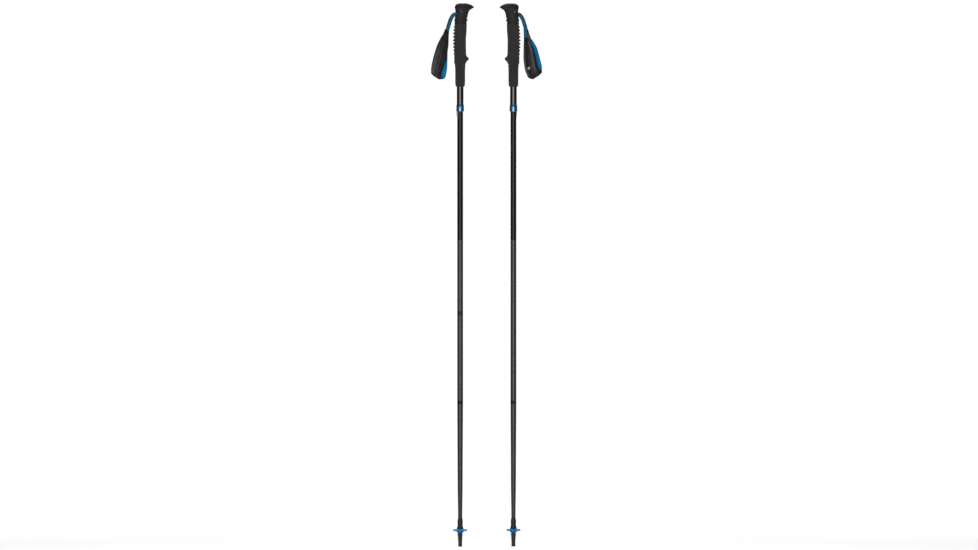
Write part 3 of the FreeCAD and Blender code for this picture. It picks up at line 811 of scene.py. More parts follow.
def build_head(side):
    cols = 120
    turn = angles(cols)
    rows = [ring(HANDLE_BORE, BORE_TOP, turn), ring(HANDLE_BORE, HEAD_BOTTOM, turn)]
    rows += list(head_surface(turn))
    verts = np.concatenate(rows + [[[0, 0, BORE_TOP], [HEAD_TOP_X, 0, HEAD_TOP]]])
    faces = strip_faces(len(rows), cols)
    bore_centre, top_centre = len(verts) - 2, len(verts) - 1
    last = (len(rows) - 1) * cols
    for i in range(cols):
        j = (i + 1) % cols
        faces.append((bore_centre, j, i))
        faces.append((top_centre, last + i, last + j))
    # the crown above the seam has its own rubber
    above = verts[:, 2] - crown_seam(verts[:, 0])
    index = [int(min(above[i] for i in face) > -0.05) for face in faces]
    ob = make(side, "grip_head_rubber", verts, faces, [HEAD_RUBBER, CROWN_RUBBER], sharp=50,
              index=index)
    cut(ob, side, *lathe_on_pin(mirrored(PIN_HOLE)))
    cut(ob, side, *slot_cutter())
    crisp(ob.data, 42)
    attach(ob, side, "handle", "head_rubber", "grip_head")


def build_pin(side):
    """Cross pin with turned, chamfered ends and a small dimple."""
    half = [(radius, depth - PIN_HALF_LENGTH) for radius, depth in PIN_END]
    verts, faces = lathe_on_pin(mirrored(half))
    ob = make(side, "strap_cross_pin", verts, faces, [PIN_STEEL], sharp=40)
    attach(ob, side, "handle", "pin_steel", "strap_pin")


# ============================================================= foam grip
# height, x of the rear
FOAM_REAR = [(1154.4, -13.9), (1158, -14.6), (1163, -14.3), (1174, -14.4), (1184, -14.2),
             (1212, -14.2), (1228, -13.9), (1240, -13.4), (1251, -13.0)]
# height, x of the front along its middle, over the finger shelf
FOAM_FRONT = [(1154.4, 13.2), (1158.5, 14.6), (1162, 17.6), (1164.6, 20.4), (1167.2, 21.4),
              (1169.6, 20.2), (1172.5, 16.8), (1176, 14.9), (1180, 14.5), (1189, 14.25),
              (1203, 14.0), (1213, 14.0), (1221, 14.65), (1229, 15.1), (1237, 15.7),
              (1244, 16.0), (1251, 16.1)]
# height, x of the front without the shelf
FOAM_PLAIN_FRONT = [(1154.4, 13.2), (1158, 14.5), (1163, 14.3), (1176, 14.7), (1189, 14.25),
                    (1213, 14.0), (1221, 14.65), (1237, 15.7), (1251, 16.1)]
# height, half width in y
FOAM_HALF_WIDTH = [(1154.4, 12.95), (1158, 13.5), (1163, 13.3), (1200, 13.1), (1240, 13.25),
                   (1251, 13.3)]
# rear ribs: height, how far they stand out
RIBS = [(1251.6, 1.2), (1243.8, 2.1), (1235.8, 2.7), (1227.8, 3.3), (1219.7, 3.4),
        (1211.6, 3.4), (1203.4, 3.3), (1195.3, 3.0), (1187.3, 2.3), (1179.4, 1.3)]
RIB_HALF_THICKNESS = 3.15
# extension below the grip: height, radius
EXTENSION = [(1100.0, 9.2), (1101.0, 10.35), (1104.0, 11.25), (1108.5, 11.75), (1112.0, 11.85),
             (1116.0, 11.85), (1134.0, 11.9), (1145.0, 12.15), (1150.6, 12.7), (1154.2, 12.75)]
EXTENSION_FLUTES = (1122.0, 1128.0, 1134.0, 1140.0)


def pushed(x, y, amount):
    """Points moved away from the axis by amount."""
    scale = 1 + amount / np.hypot(x, y)
    return x * scale, y * scale


def build_sleeve(side, name, surface, turn, material, sharp, slot, replaced):
    """A foam sleeve on the handle tube from a grid of outer points, bottom row first."""
    bottom, top = surface[0, 0, 2], surface[-1, 0, 2]
    verts = np.concatenate([ring(HANDLE_BORE, bottom, turn), *surface,
                            ring(HANDLE_BORE, top, turn)])
    faces = torus_faces(len(surface) + 2, len(turn))
    ob = make(side, name, verts, faces, [material], sharp)
    attach(ob, side, "handle", slot, replaced)


def rib_heights(z, bearing):
    """Rounded fins across the rear, fading out to rounded ends."""
    from_rear = np.abs(np.abs(bearing) - np.pi) * 180 / np.pi
    ribs = np.zeros_like(z)
    for rib_z, height in RIBS:
        reach = 61.0 - (8.0 if height < 1.5 else 0.0)        # degrees each way
        envelope = np.clip(1 - (from_rear / reach) ** 2, 0, 1)
        t = (z - rib_z + 0.25) / (RIB_HALF_THICKNESS * np.clip(np.sqrt(envelope), 0.12, 1))
        section = np.clip(1 - t * t, 0, 1) ** 1.1
        ribs = np.maximum(ribs, height * section * smooth(0.0, 0.35, envelope))
    return ribs


def build_foam(side):
    zs = np.unique(np.round(np.concatenate([
        np.arange(FOAM_BOTTOM, 1176, 0.5), np.arange(1176, FOAM_TOP, 0.42), [FOAM_TOP]]), 3))
    turn = angles(144)
    z = zs[:, None] + 0 * turn[None, :]
    cos, sin = np.cos(turn)[None, :] + 0 * z, np.sin(turn)[None, :] + 0 * z
    rear, front, plain, half_width = (
        pchip(table, zs)[:, None]
        for table in (FOAM_REAR, FOAM_FRONT, FOAM_PLAIN_FRONT, FOAM_HALF_WIDTH))
    # the finger shelf stands out at the front only
    wrap = smooth(math.radians(78), math.radians(28), np.abs(np.arctan2(sin, cos)))
    shelf = np.maximum(front - plain, 0) * wrap
    centre = 0.5
    x = np.where(cos > 0, centre + (plain + shelf - centre) * cos,
                 centre + (centre - rear) * cos)
    y = half_width * sin * (1 + 0.25 * shelf / 14.0)
    x, y = pushed(x, y, rib_heights(z, np.arctan2(sin, cos)))
    # rounded edges at both ends, and faint waviness
    edge = (-0.9 * (1 - smooth(0, 1.3, FOAM_TOP - z)) ** 2
            - 0.8 * (1 - smooth(0, 1.2, z - FOAM_BOTTOM)) ** 2)
    bearing = np.arctan2(y, x)
    bearing = np.arctan2(sin, cos)
    waves = 0.05 * np.sin(z * 0.19 + 2 * bearing) + 0.04 * np.sin(z * 0.43 + 5 * bearing)
    x, y = pushed(x, y, edge + waves)
    build_sleeve(side, "grip_foam_main", np.stack([x, y, z], 2), turn, GRIP_FOAM, 55,
                 "grip_foam", "grip_foam")


def build_extension(side):
    zs = np.unique(np.round(np.concatenate([
        np.arange(EXTENSION_BOTTOM, 1104, 0.25), np.arange(1104, EXTENSION_TOP, 0.5),
        [EXTENSION_TOP]]), 3))
    turn = angles(112)
    z = zs[:, None] + 0 * turn[None, :]
    from_front = np.abs(np.arctan2(np.sin(turn), np.cos(turn)))[None, :]
    radius = pchip(EXTENSION, zs)[:, None] + 0 * z
    # three fine grooves all the way round
    for groove_z, depth, width in ((1112.3, 0.45, 0.55), (1105.2, 0.25, 0.45),
                                   (1151.9, 0.25, 0.5)):
        radius -= depth * bell(z - groove_z, width)
    radius += 0.95 * bell(z - 1116.6, width=1.7) * bell(from_front, width=0.16)   # front nub
    rear = smooth(math.radians(62), math.radians(40), np.pi - from_front)
    for flute_z in EXTENSION_FLUTES:
        radius -= 0.35 * bell(z - flute_z, width=0.8) * rear
    # rounded edges at both ends, and faint waviness
    radius -= 0.7 * (1 - smooth(0, 0.9, z - EXTENSION_BOTTOM)) ** 2
    radius -= 0.4 * (1 - smooth(0, 0.8, EXTENSION_TOP - z)) ** 2
    radius += 0.04 * np.sin(z * 0.31 + 3 * turn[None, :])
    surface = np.stack([radius * np.cos(turn), radius * np.sin(turn), z], 2)
    build_sleeve(side, "grip_extension_foam", surface, turn, EXTENSION_FOAM, 50,
                 "extension_foam", "grip_extension")


# ============================================================= wrist band
# The band hangs in two legs, A towards -Y and B towards +Y, joined by a fold at the bottom.
# Leg edges are (height, x), inner being nearer the pole; bottom is (share of the width
# from the inner edge, height).
BAND_OUTLINE = {
    "left": {
        "a_inner": [
            (1240, -26.4), (1237, -26.8), (1228, -28.3), (1217, -29.3), (1202, -29.9),
            (1183, -32.3), (1168, -33.9), (1161, -36.4), (1154, -39.6), (1145, -42.3),
            (1135, -45.9), (1125, -48.6), (1117, -49.6)],
        "a_outer": [
            (1240, -37.3), (1237, -38.5), (1228, -41.8), (1217, -48.9), (1202, -56.9),
            (1193, -60.6), (1183, -64.0), (1164, -69.4), (1149, -72.6), (1140, -73.6),
            (1132, -73.0)],
        "b_inner": [
            (1237, -26.0), (1228, -27.2), (1217, -27.6), (1202, -27.5), (1183, -29.7),
            (1164, -29.9), (1149, -30.4), (1140, -31.2), (1133, -32.4), (1128, -33.4),
            (1121, -36.0)],
        "b_outer": [
            (1237, -37), (1228, -39.5), (1212, -44), (1200, -47.5), (1188, -52),
            (1176, -55.5), (1164, -60), (1152, -63.5), (1145, -66.6), (1139, -69.8),
            (1132, -70.2)],
        "bottom": [(0, 1117.4), (0.3, 1117.4), (0.5, 1120.6), (0.75, 1124.8), (1, 1129.4)],
    },
    "right": {
        "a_outer": [
            (1240, -34.0), (1237, -35.2), (1228, -37.6), (1221, -40.8), (1217, -43.4),
            (1212, -48.6), (1202, -55.0), (1193, -60.0), (1183, -63.1), (1173, -66.0),
            (1164, -68.5), (1154, -71.2), (1145, -72.5), (1138, -72.3), (1132, -71.0)],
        "b_inner": [
            (1237, -24.4), (1228, -24.9), (1217, -25.0), (1202, -24.3), (1183, -23.6),
            (1173, -23.4), (1164, -23.7), (1154, -24.9), (1145, -26.3), (1137, -28.2),
            (1130, -31.4), (1125, -33.7), (1121, -36.4)],
        "b_outer": [
            (1237, -36.5), (1228, -38.7), (1221, -41.4), (1217, -42.5), (1211, -42.0),
            (1204, -43.4), (1196, -46.4), (1188, -50.0), (1176, -53.4), (1164, -55.6),
            (1152, -58.0), (1146, -60.0), (1142, -63.6), (1139, -68.6), (1132, -70.5)],
        "bottom": [(0, 1119.4), (0.2, 1118.4), (0.45, 1122.2), (0.75, 1127.6), (1, 1132.2)],
    },
}
BAND_OUTLINE["right"]["a_inner"] = BAND_OUTLINE["left"]["a_inner"]
# height, distance of each leg's middle surface from the plane y = 0
LEG_Y = [(1117, FOLD_RADIUS), (1160, FOLD_RADIUS), (1185, 4.6), (1205, 3.6), (1225, 2.2),
         (1237, 1.45)]
LEG_ROWS, FOLD_ROWS = 74, 20
SEAM_INSET = 2.1               # of the edge seams from the band's edges


def band_surface(side):
    """Middle surface of the wrist band and its normals: down leg A, round the fold, up B."""
    outline = BAND_OUTLINE[side]
    u = 0.5 - 0.5 * np.cos(np.pi * np.arange(37) / 36)       # 0 inner edge, 1 outer edge
    fold_z = pchip(outline["bottom"], u) + FOLD_RADIUS + 1.7

    def leg_x(leg, z):
        return pchip(outline[leg + "_inner"], z) * (1 - u) + pchip(outline[leg + "_outer"], z) * u

    top_a = BAND_TOP + 0 * u
    if side == "left":
        top_a = top_a + (1.8 - 7.5 * (1 - u))                # slanted end
    rows = []
    for k in range(LEG_ROWS):
        z = top_a + (fold_z - top_a) * (k / LEG_ROWS)
        rows.append(np.stack([leg_x("a", z), -pchip(LEG_Y, z), z], 1))
    x_a, x_b = leg_x("a", fold_z), leg_x("b", fold_z)
    for k in range(FOLD_ROWS + 1):
        angle = math.pi * (k / FOLD_ROWS - 0.5)
        share = 0.5 + 0.5 * math.sin(angle)
        rows.append(np.stack([x_a * (1 - share) + x_b * share,
                              FOLD_RADIUS * math.sin(angle) + 0 * u,
                              fold_z - FOLD_RADIUS * math.cos(angle)], 1))
    for k in range(1, LEG_ROWS + 1):
        z = fold_z + (BAND_TOP - fold_z) * (k / LEG_ROWS)
        rows.append(np.stack([leg_x("b", z), pchip(LEG_Y, z), z], 1))
    middle = np.array(rows)
    relax(middle, 1, len(middle) - 1, passes=6)              # evens out the row spacing
    normals = np.cross(np.gradient(middle, axis=1), np.gradient(middle, axis=0))
    normals /= np.maximum(np.linalg.norm(normals, axis=2, keepdims=True), 1e-9)
    return u, middle, normals


def band_thickness(side, u, width, length):
    """Heights of the outside and of the lining over the middle surface."""
    total = length[-1]
    along = length[:, None]
    u = u[None, :] + 0 * width
    from_edge = np.minimum(u, 1 - u) * width
    rounded = np.clip(1 - np.abs(2 * u - 1) ** 7, 0, 1) ** 0.5
    ends = smooth(0, 9, along) * smooth(0, 9, total - along)    # thin at both ends
    crown = 1 - (2 * u - 1) ** 2
    pad = 1.15 * crown ** 0.8 + 0.62 * bell(u - 0.66, width=0.075) + 0.45 * bell(u - 0.47, 0.06)
    if side == "right":
        # leg B is padded along its two edges instead
        leg_b = smooth(total * 0.5, total * 0.62, along)
        quilt = 0.30 + 1.15 * bell(u - 0.10, width=0.15) + 1.35 * bell(u - 0.83, width=0.15)
        pad = pad * (1 - leg_b) + quilt * leg_b
    seam = bell(from_edge - SEAM_INSET, width=0.55) * ends
    outside = rounded * (0.75 + ends * (0.2 + pad)) - 0.34 * seam
    lining = rounded * (0.55 + ends * (0.15 + 0.45 * crown)) - 0.22 * seam
    # long soft creases down the legs, short ones where the band turns under
    fold = bell(along - total / 2, width=17.0)
    ripple = np.sin(along * 1.15 + 2.0 * np.sin(u * 5))
    crease = 0.10 * np.sin(u * 9 + along * 0.055) + 0.07 * np.sin(along * 0.21 + u * 4.0)
    crease = crease + fold * 0.10 * ripple
    inland = np.clip(crown, 0, 1)
    outside = outside + crease * inland * 0.9
    lining = lining - fold * 0.12 * np.abs(ripple) * inland
    return outside, lining


def build_band(side):
    u, middle, normals = band_surface(side)
    rows, columns = middle.shape[:2]
    width = np.linalg.norm(middle[:, -1] - middle[:, 0], axis=1)[:, None]
    length = run_lengths(middle[:, columns // 2])
    outside_height, lining_height = band_thickness(side, u, width, length)
    outside = middle + normals * outside_height[:, :, None]
    lining = middle - normals * lining_height[:, :, None]
    for edge in (0, -1):
        outside[:, edge] = lining[:, edge] = middle[:, edge]
    section = np.concatenate([outside, lining[:, -2:0:-1]], axis=1)
    across = (u[None, :] - 0.5) * width
    across = np.concatenate([across, across[:, -2:0:-1]], axis=1)
    faces, uv = sheet(across, length, columns)
    index = ([0] * (columns - 1) + [1] * (columns - 1)) * (rows - 1)
    index += [0] * (len(faces) - len(index))
    ob = make(side, "wrist_band", section.reshape(-1, 3), faces, [BAND_OUTSIDE, BAND_LINING],
              sharp=75, index=index, uv=uv)
    attach(ob, side, "strap", "wrist_band", "strap_band")
    return {"u": u, "normals": normals, "outside": outside, "lining": lining, "width": width}


# ============================================================= stitching and label
# along a stitch: share of its length from the middle, share of its radius
STITCH_SHAPE = [(-0.5, 0.0), (-0.42, 0.6), (-0.22, 0.95), (0.22, 0.95), (0.42, 0.6), (0.5, 0.0)]


def run_stitches(path, normals, pitch, length):
    """Stitches at an even pitch along a polyline: centre, direction, length, normal."""
    path, normals = np.asarray(path), np.asarray(normals)
    distance = run_lengths(path)
    out = []
    for at in np.arange(pitch * 0.6, distance[-1] - pitch * 0.4, pitch):
        centre = interpolate(at, distance, path)
        ahead = interpolate(at + 0.4, distance, path)
        out.append((centre, ahead - centre, length, interpolate(at, distance, normals)))
    return out


def build_stitches(side, name, stitches, radius, material, slot):
    """Small rounded stitches whose ends dip into the cloth."""
    segments = 6
    verts, faces = [], []
    for centre, direction, length, normal in stitches:
        direction = unit(direction)
        sideways = unit(np.cross(direction, normal))
        up = np.cross(sideways, direction)
        rows = []
        for share, fullness in STITCH_SHAPE:
            start = len(verts)
            middle = (centre + direction * (share * length)
                      - up * (radius * 0.75) * (abs(share) * 2) ** 3)
            if fullness == 0:
                verts.append(middle)
            else:
                for i in range(segments):
                    angle = 2 * math.pi * i / segments
                    spoke = sideways * math.cos(angle) + up * math.sin(angle)
                    verts.append(middle + spoke * radius * fullness)
            rows.append(list(range(start, len(verts))))
        faces += bridge(rows)
    ob = make(side, name, np.array(verts), faces, [material], sharp=180)
    attach(ob, side, "strap", slot)


def build_band_stitches(side, band):
    """A row of stitches sunk in the seam near each edge, on the outside and the lining."""
    for name, surface, sign, radius, material in (
            ("outer", "outside", 1, 0.2, BLACK_THREAD),
            ("lining", "lining", -1, 0.18, BLUE_THREAD)):
        stitches = []
        for inner_edge in (True, False):
            path, normals = [], []
            for row in range(3, len(band["width"]) - 3):
                inset = SEAM_INSET / band["width"][row, 0]
                at = inset if inner_edge else 1 - inset
                normal = sign * interpolate(at, band["u"], band["normals"][row])
                path.append(interpolate(at, band["u"], band[surface][row]) + normal * 0.05)
                normals.append(normal)
            stitches += run_stitches(path, normals, pitch=3.0, length=2.2)
        build_stitches(side, "band_stitching_" + name, stitches, radius, material,
                       "wrist_band")


LABEL_X, LABEL_Z = {"left": -41.5, "right": -36.4}, 1144.6
LABEL_HALF_X, LABEL_HALF_Z = 3.0, 3.3
# label outlines, from its underside to near its middle: lift, inset, scale
LABEL_RINGS = [(-0.35, 0.0, 1.0), (0.22, 0.0, 1.0), (0.34, 0.22, 1.0), (0.36, 0.22, 0.66),
               (0.36, 0.22, 0.33)]


def build_label(side, band):
    """A plain pale label on the outside of leg B, low down."""
    leg_b = band["outside"][len(band["outside"]) // 2:]
    centre_x = LABEL_X[side]

    def surface_y(x, z):
        """y of leg B's outside, averaged from the points within 3 mm."""
        squared = (leg_b[:, :, 0] - x) ** 2 + (leg_b[:, :, 2] - z) ** 2
        weight = 1 / (squared + 0.15) ** 2
        weight[squared > 9] = 0
        return float((leg_b[:, :, 1] * weight).sum() / weight.sum())

    outline = rounded_square(48, power=0.45)
    count = len(outline)
    verts = []
    for lift, inset, scale in LABEL_RINGS:
        for a, b in outline:
            x = centre_x + scale * (LABEL_HALF_X - inset) * a
            z = LABEL_Z + scale * (LABEL_HALF_Z - inset) * b
            verts.append((x, surface_y(x, z) + lift, z))
    faces = strip_faces(len(LABEL_RINGS), count)
    middle, last = len(verts), len(verts) - count
    verts.append((centre_x, surface_y(centre_x, LABEL_Z) + 0.36, LABEL_Z))
    for i in range(count):
        faces.append((last + i, last + (i + 1) % count, middle))
    faces.append(tuple(range(count)))
    ob = make(side, "band_label", verts, faces, [LABEL], sharp=50)
    attach(ob, side, "strap", "wrist_band")


# ============================================================= webbing
# the webbing's middle line in the pole's side plane, from the pin outwards: x, z
STRAP_PATH = [
    (-3.6, 1278.6), (-7.6, 1276.5), (-11.0, 1275.0), (-14.6, 1273.2), (-17.7, 1270.6),
    (-20.0, 1267.7), (-21.9, 1264.4), (-23.8, 1260.4), (-25.3, 1256.5), (-27.3, 1250.0),
    (-29.3, 1243.6)]
# leg A's end goes into the band; leg B's end lies on the outside of the band
LEG_A_END = [(-31.0, 1238.6), (-32.7, 1233.0), (-34.6, 1227.5)]
LEG_B_END = {
    "left": [(-30.3, 1237.4), (-31.6, 1230.0), (-32.8, 1223.6), (-33.6, 1218.0)],
    "right": [(-29.0, 1237.4), (-29.7, 1230.0), (-30.3, 1223.6), (-30.7, 1218.0)],
}
TAPE_HALF_WIDTH, TAPE_HALF_THICKNESS = 4.7, 0.78
WRAP_RADIUS = 3.42             # of the tape's middle round the pin
WRAP_START, WRAP_END = 126, -156       # degrees in the side plane, anticlockwise from +X
WRAP_STEPS = 22
Y_AXIS = np.array([0, 1.0, 0])


def tape(centre, wide):
    """A flat tape with rounded edges, from centre points and width directions; one edge gets the
    painted shade material.
    """
    tangent = np.gradient(centre, axis=0)
    tangent /= np.linalg.norm(tangent, axis=1, keepdims=True)
    wide = wide - tangent * (wide * tangent).sum(1, keepdims=True)
    wide /= np.linalg.norm(wide, axis=1, keepdims=True)
    normal = np.cross(wide, tangent)
    columns = 11
    share = np.linspace(-1, 1, columns)
    height = np.clip(1 - np.abs(share) ** 6, 0, 1) ** 0.5 * (1 + 0.10 * np.cos(share * math.pi * 2))
    height[0] = height[-1] = 0.0
    share = np.concatenate([share, share[-2:0:-1]])
    height = np.concatenate([height, -height[-2:0:-1]])
    verts = (centre[:, None] + wide[:, None] * share[:, None] * TAPE_HALF_WIDTH
             + normal[:, None] * height[:, None] * TAPE_HALF_THICKNESS)
    across = np.tile(share * TAPE_HALF_WIDTH, (len(centre), 1))
    faces, uv = sheet(across, run_lengths(centre), columns)
    # one edge of the tape gets the darker material: painted shade along that edge
    shaded_edge = np.minimum(share, np.roll(share, -1)) > 0.58
    index = [int(dark) for dark in shaded_edge] * (len(centre) - 1)
    index += [0] * (len(faces) - len(index))
    return verts.reshape(-1, 3), faces, uv, index


def webbing_leg(side, leg):
    """Centre line and width directions of one leg, from the pin to its end."""
    path = catmull(STRAP_PATH + (LEG_A_END if leg == "A" else LEG_B_END[side]))
    x, z = path[:, 0], path[:, 1]
    tangent = np.gradient(path, axis=0)
    tangent /= np.linalg.norm(tangent, axis=1, keepdims=True)
    # in-plane normal, up and to the rear
    up = np.stack([-np.abs(tangent[:, 1]), 0 * x, np.abs(tangent[:, 0])], 1)
    up /= np.linalg.norm(up, axis=1, keepdims=True)
    length = run_lengths(path)
    # the tape twists from nearly flat on the pin to facing sideways
    twist = np.radians(8 + 82 * smooth(0.5, 24, length))[:, None]
    from_b_to_a = np.cos(twist) * up - np.sin(twist) * Y_AXIS
    wide = np.cos(twist) * Y_AXIS + np.sin(twist) * up
    gap = 0.95 + 1.9 * (1 - smooth(0, 7.5, length))          # opens up to go round the pin
    centre = np.stack([x, 0 * x, z], 1)
    centre = centre + from_b_to_a * (gap if leg == "A" else -gap)[:, None]
    if leg == "A":
        centre[:, 1] -= 0.35 * smooth(1246, 1234, z)
    else:
        on_band = smooth(1247, 1236.5, z)
        centre[:, 1] = centre[:, 1] * (1 - on_band) + (pchip(LEG_Y, z) + 1.75) * on_band
    return centre, wide


def build_webbing(side):
    """One length of tape: up leg A, round the pin in the head, and down leg B."""
    centre_a, wide_a = webbing_leg(side, "A")
    centre_b, wide_b = webbing_leg(side, "B")
    arc = []
    for k in range(1, WRAP_STEPS):
        angle = math.radians(WRAP_START - (WRAP_START - WRAP_END) * k / WRAP_STEPS)
        arc.append((WRAP_RADIUS * math.cos(angle), 0, PIN_Z + WRAP_RADIUS * math.sin(angle)))
    centre = np.vstack([centre_a[::-1], arc, centre_b])
    wide = np.vstack([wide_a[::-1], np.tile(Y_AXIS, (len(arc), 1)), wide_b])
    relax(centre, len(centre_a) - 4, len(centre_a) + len(arc) + 4, passes=4)   # eases the joins
    verts, faces, uv, index = tape(centre, wide)
    ob = make(side, "strap_tape", verts, faces, [WEBBING, WEBBING_EDGE_SHADE], sharp=70, index=index,
              uv=uv)
    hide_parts(side + "_strap_webbing", side + "_strap_anchor_loop")
    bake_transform(ob)
    build_box_stitch(side, centre_b, wide_b)


def build_box_stitch(side, centre, wide):
    """The box and cross that hold leg B's end on the band."""
    bottom, top, half_width = 1219.3, 1230.5, 3.4
    heights = centre[::-1, 2]

    def on_tape(z, offset):
        return (interpolate(z, heights, centre[::-1])
                + interpolate(z, heights, wide[::-1]) * offset
                + Y_AXIS * TAPE_HALF_THICKNESS * 0.92)

    corners = [on_tape(bottom, -half_width), on_tape(bottom, half_width),
               on_tape(top, half_width), on_tape(top, -half_width)]
    stitches = []
    for a, b, pitch in ((0, 1, 1.75), (1, 2, 1.75), (2, 3, 1.75), (3, 0, 1.75),
                        (0, 2, 1.85), (1, 3, 1.85)):
        stitches += run_stitches([corners[a], corners[b]], [Y_AXIS, Y_AXIS], pitch, length=1.35)
    build_stitches(side, "tape_box_stitch", stitches, 0.17, BLUE_THREAD, "webbing")


# ============================================================= tension cord
# knot at the top of the cord: radius, height
CORD_KNOT = [(0.0, 1261.4), (1.6, 1261.35), (2.35, 1261.0), (2.6, 1260.3), (2.6, 1258.6),
             (2.3, 1257.9), (1.25, 1257.6)]
CORD_TOP_RUN_END = 792.0
# name, top, bottom, part above, part below, heights where the blend starts and ends, rings
CORD_PIECES = [
    ("cord_cone_1", 791.9, 760.9, "shaft_upper", "link_1", 790.0, 762.0, 34),
    ("cord_bend_1", 735.5, 728.6, "link_1", "shaft_middle", 734.8, 729.2, 40),
    ("cord_cone_2", 405.9, 374.9, "shaft_middle", "link_2", 404.0, 376.0, 34),
    ("cord_bend_2", 349.5, 342.6, "link_2", "shaft_lower", 348.8, 343.2, 40),
]


def build_cord(side, name, profile, replaced=None):
    verts, faces = lathe(profile, 20)
    ob = make(side, name, verts, faces, [CORD], sharp=50)
    if replaced:
        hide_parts(side + "_" + replaced)
    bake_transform(ob)


def build_cords(side):
    # top run: a knot inside the handle and a run down through the upper shaft, as one piece
    zs = np.concatenate([np.linspace(1257.4, 1030.0, 90),
                         np.linspace(1020.0, CORD_TOP_RUN_END, 12)])
    profile = CORD_KNOT + [(CORD_RADIUS, z) for z in zs] + [(0.0, CORD_TOP_RUN_END)]
    build_cord(side, "cord_top_run", profile,
               replaced="cord_upper")
    for name, top, bottom, above, below, start_z, end_z, rings in CORD_PIECES:
        zs = np.linspace(top, bottom, rings)
        profile = [(0.0, top)] + [(CORD_RADIUS, z) for z in zs] + [(0.0, bottom)]
        build_cord(side, name, profile)


# ============================================================= basket
BASKET_LOBES = 10
BASKET_RADIUS = 16.7
SCALLOP_RADIUS, SCALLOP_DISTANCE = 2.4, 17.7     # of the bites, and of their centres
BASKET_BORE, HUB_RADIUS = 5.56, 8.6
HUB_BOTTOM, HUB_TOP = 33.6, 41.6


def basket_rim(bearing):
    """Rim radius; bearing is the angle from the nearest scallop's middle."""
    y = SCALLOP_DISTANCE * np.sin(bearing)
    chord = np.sqrt(np.maximum(SCALLOP_RADIUS * SCALLOP_RADIUS - y * y, 0))
    scallop = np.where(np.abs(y) < SCALLOP_RADIUS, SCALLOP_DISTANCE * np.cos(bearing) - chord,
                       99.0)
    softness = 0.28            # of the minimum of scallop and plain rim
    return -softness * np.log(np.exp(-np.minimum(scallop, 40) / softness)
                              + np.exp(-BASKET_RADIUS / softness))


def build_basket(side):
    """Scalloped basket: thick hub, ribbed disc and a raised lip near the rim."""
    cols = 300
    turn = angles(cols)
    lobe = 2 * np.pi / BASKET_LOBES
    share = (turn / lobe) % 1.0 - 0.5                # 0 at a scallop's middle
    rim = basket_rim(share * lobe)
    # 1 on the ribs, which lie between scallops; the sum makes them wider on one side
    rib = np.clip(bell((share - 0.5 + (share < 0)) * lobe * 12.0, width=0.9)
                  + bell((share + 0.5) * lobe * 12.0, width=0.9), 0, 1)

    def disc_ring(t, z):
        """A ring at share t of the way from the hub to the rim."""
        return ring(HUB_RADIUS + (rim - HUB_RADIUS) * t, z, turn)

    rows = [ring(BASKET_BORE, HUB_BOTTOM, turn), ring(BASKET_BORE, HUB_TOP, turn)]
    hub_top = fillet([(BASKET_BORE, HUB_TOP), (8.0, HUB_TOP), (HUB_RADIUS, 40.9),
                      (HUB_RADIUS, 40.0)], radius=0.4, steps=3)
    rows += [ring(radius, z, turn) for radius, z in hub_top[1:]]
    for t in np.concatenate([np.linspace(0.03, 0.9, 16), np.linspace(0.93, 1.0, 5)]):
        lip = 0.85 * bell(t - 0.93, width=0.06)
        edge = -0.75 * max(0.0, (t - 0.95) / 0.05) ** 2
        ribs = 1.0 * rib * (1 - smooth(0.55, 0.9, t)) + 0.35 * rib * bell(t - 0.9, width=0.1)
        dish = -0.35 * bell(t - 0.5, width=0.3) * (1 - rib)
        rows.append(disc_ring(t, 40.1 + 0.4 * t + lip + edge + ribs + dish))
    for t in np.concatenate([np.linspace(1.0, 0.94, 4), np.linspace(0.9, 0.04, 10)]):
        edge = 0.45 * max(0.0, (t - 0.94) / 0.06) ** 2
        hollow = 0.45 * bell(t - 0.55, width=0.25) * (1 - rib)
        rows.append(disc_ring(t, 37.2 - 0.1 * t + edge + hollow))
    hub_bottom = fillet([(HUB_RADIUS, 36.4), (8.45, 34.6), (7.7, HUB_BOTTOM),
                         (BASKET_BORE, HUB_BOTTOM)], radius=0.5, steps=4)
    rows += [ring(radius, z, turn) for radius, z in hub_bottom[:-1]]
    ob = make(side, "basket_moulding", np.concatenate(rows), torus_faces(len(rows), cols),
              [BASKET_BLUE], sharp=48)
    attach(ob, side, "basket", "basket_plastic", "basket")


# ============================================================= stage and light
BACKDROP_WHITE = 1.03          # what the camera sees of the far floor and the world
VIEW_AZIMUTH = -15.0           # degrees; 0 looks from -Y
FRAME_WIDTH = 2.3405           # metres across the frame at the poles


def floor_material():
    """A pale floor that fades to plain white between 1.2 and 2.6 m from the middle."""
    g = Shader("floor_pale")
    distance = g.node("VectorMath", {0: g.position()}, operation="LENGTH").outputs["Value"]
    fade = g.remap(distance, span=(1.2, 2.6))
    camera_ray = g.node("LightPath").outputs["Is Camera Ray"]
    white = (1, 1, 1)
    far = g.node("Emission", {
        "Color": white,
        "Strength": g.remap(camera_ray, span=(0, 1), to=(0.3, BACKDROP_WHITE))})
    speck = g.noise(scale=300.0, detail=2.0)
    color = g.mix(g.remap(speck, span=(0.3, 0.7)), (0.90, 0.90, 0.90), (0.915, 0.915, 0.915))
    g.set(color=color, rough=0.9, spec=0.1)
    lift = g.node("Emission", {
        "Color": white, "Strength": g.remap(camera_ray, span=(0, 1), to=(0.0, 0.49))})
    near = g.node("AddShader", {0: g.principled.outputs[0], 1: lift.outputs[0]})
    mixed = g.node("MixShader", {0: fade, 1: near.outputs[0], 2: far.outputs[0]})
    g.put(g.output.inputs[0], mixed.outputs[0])
    return g.material


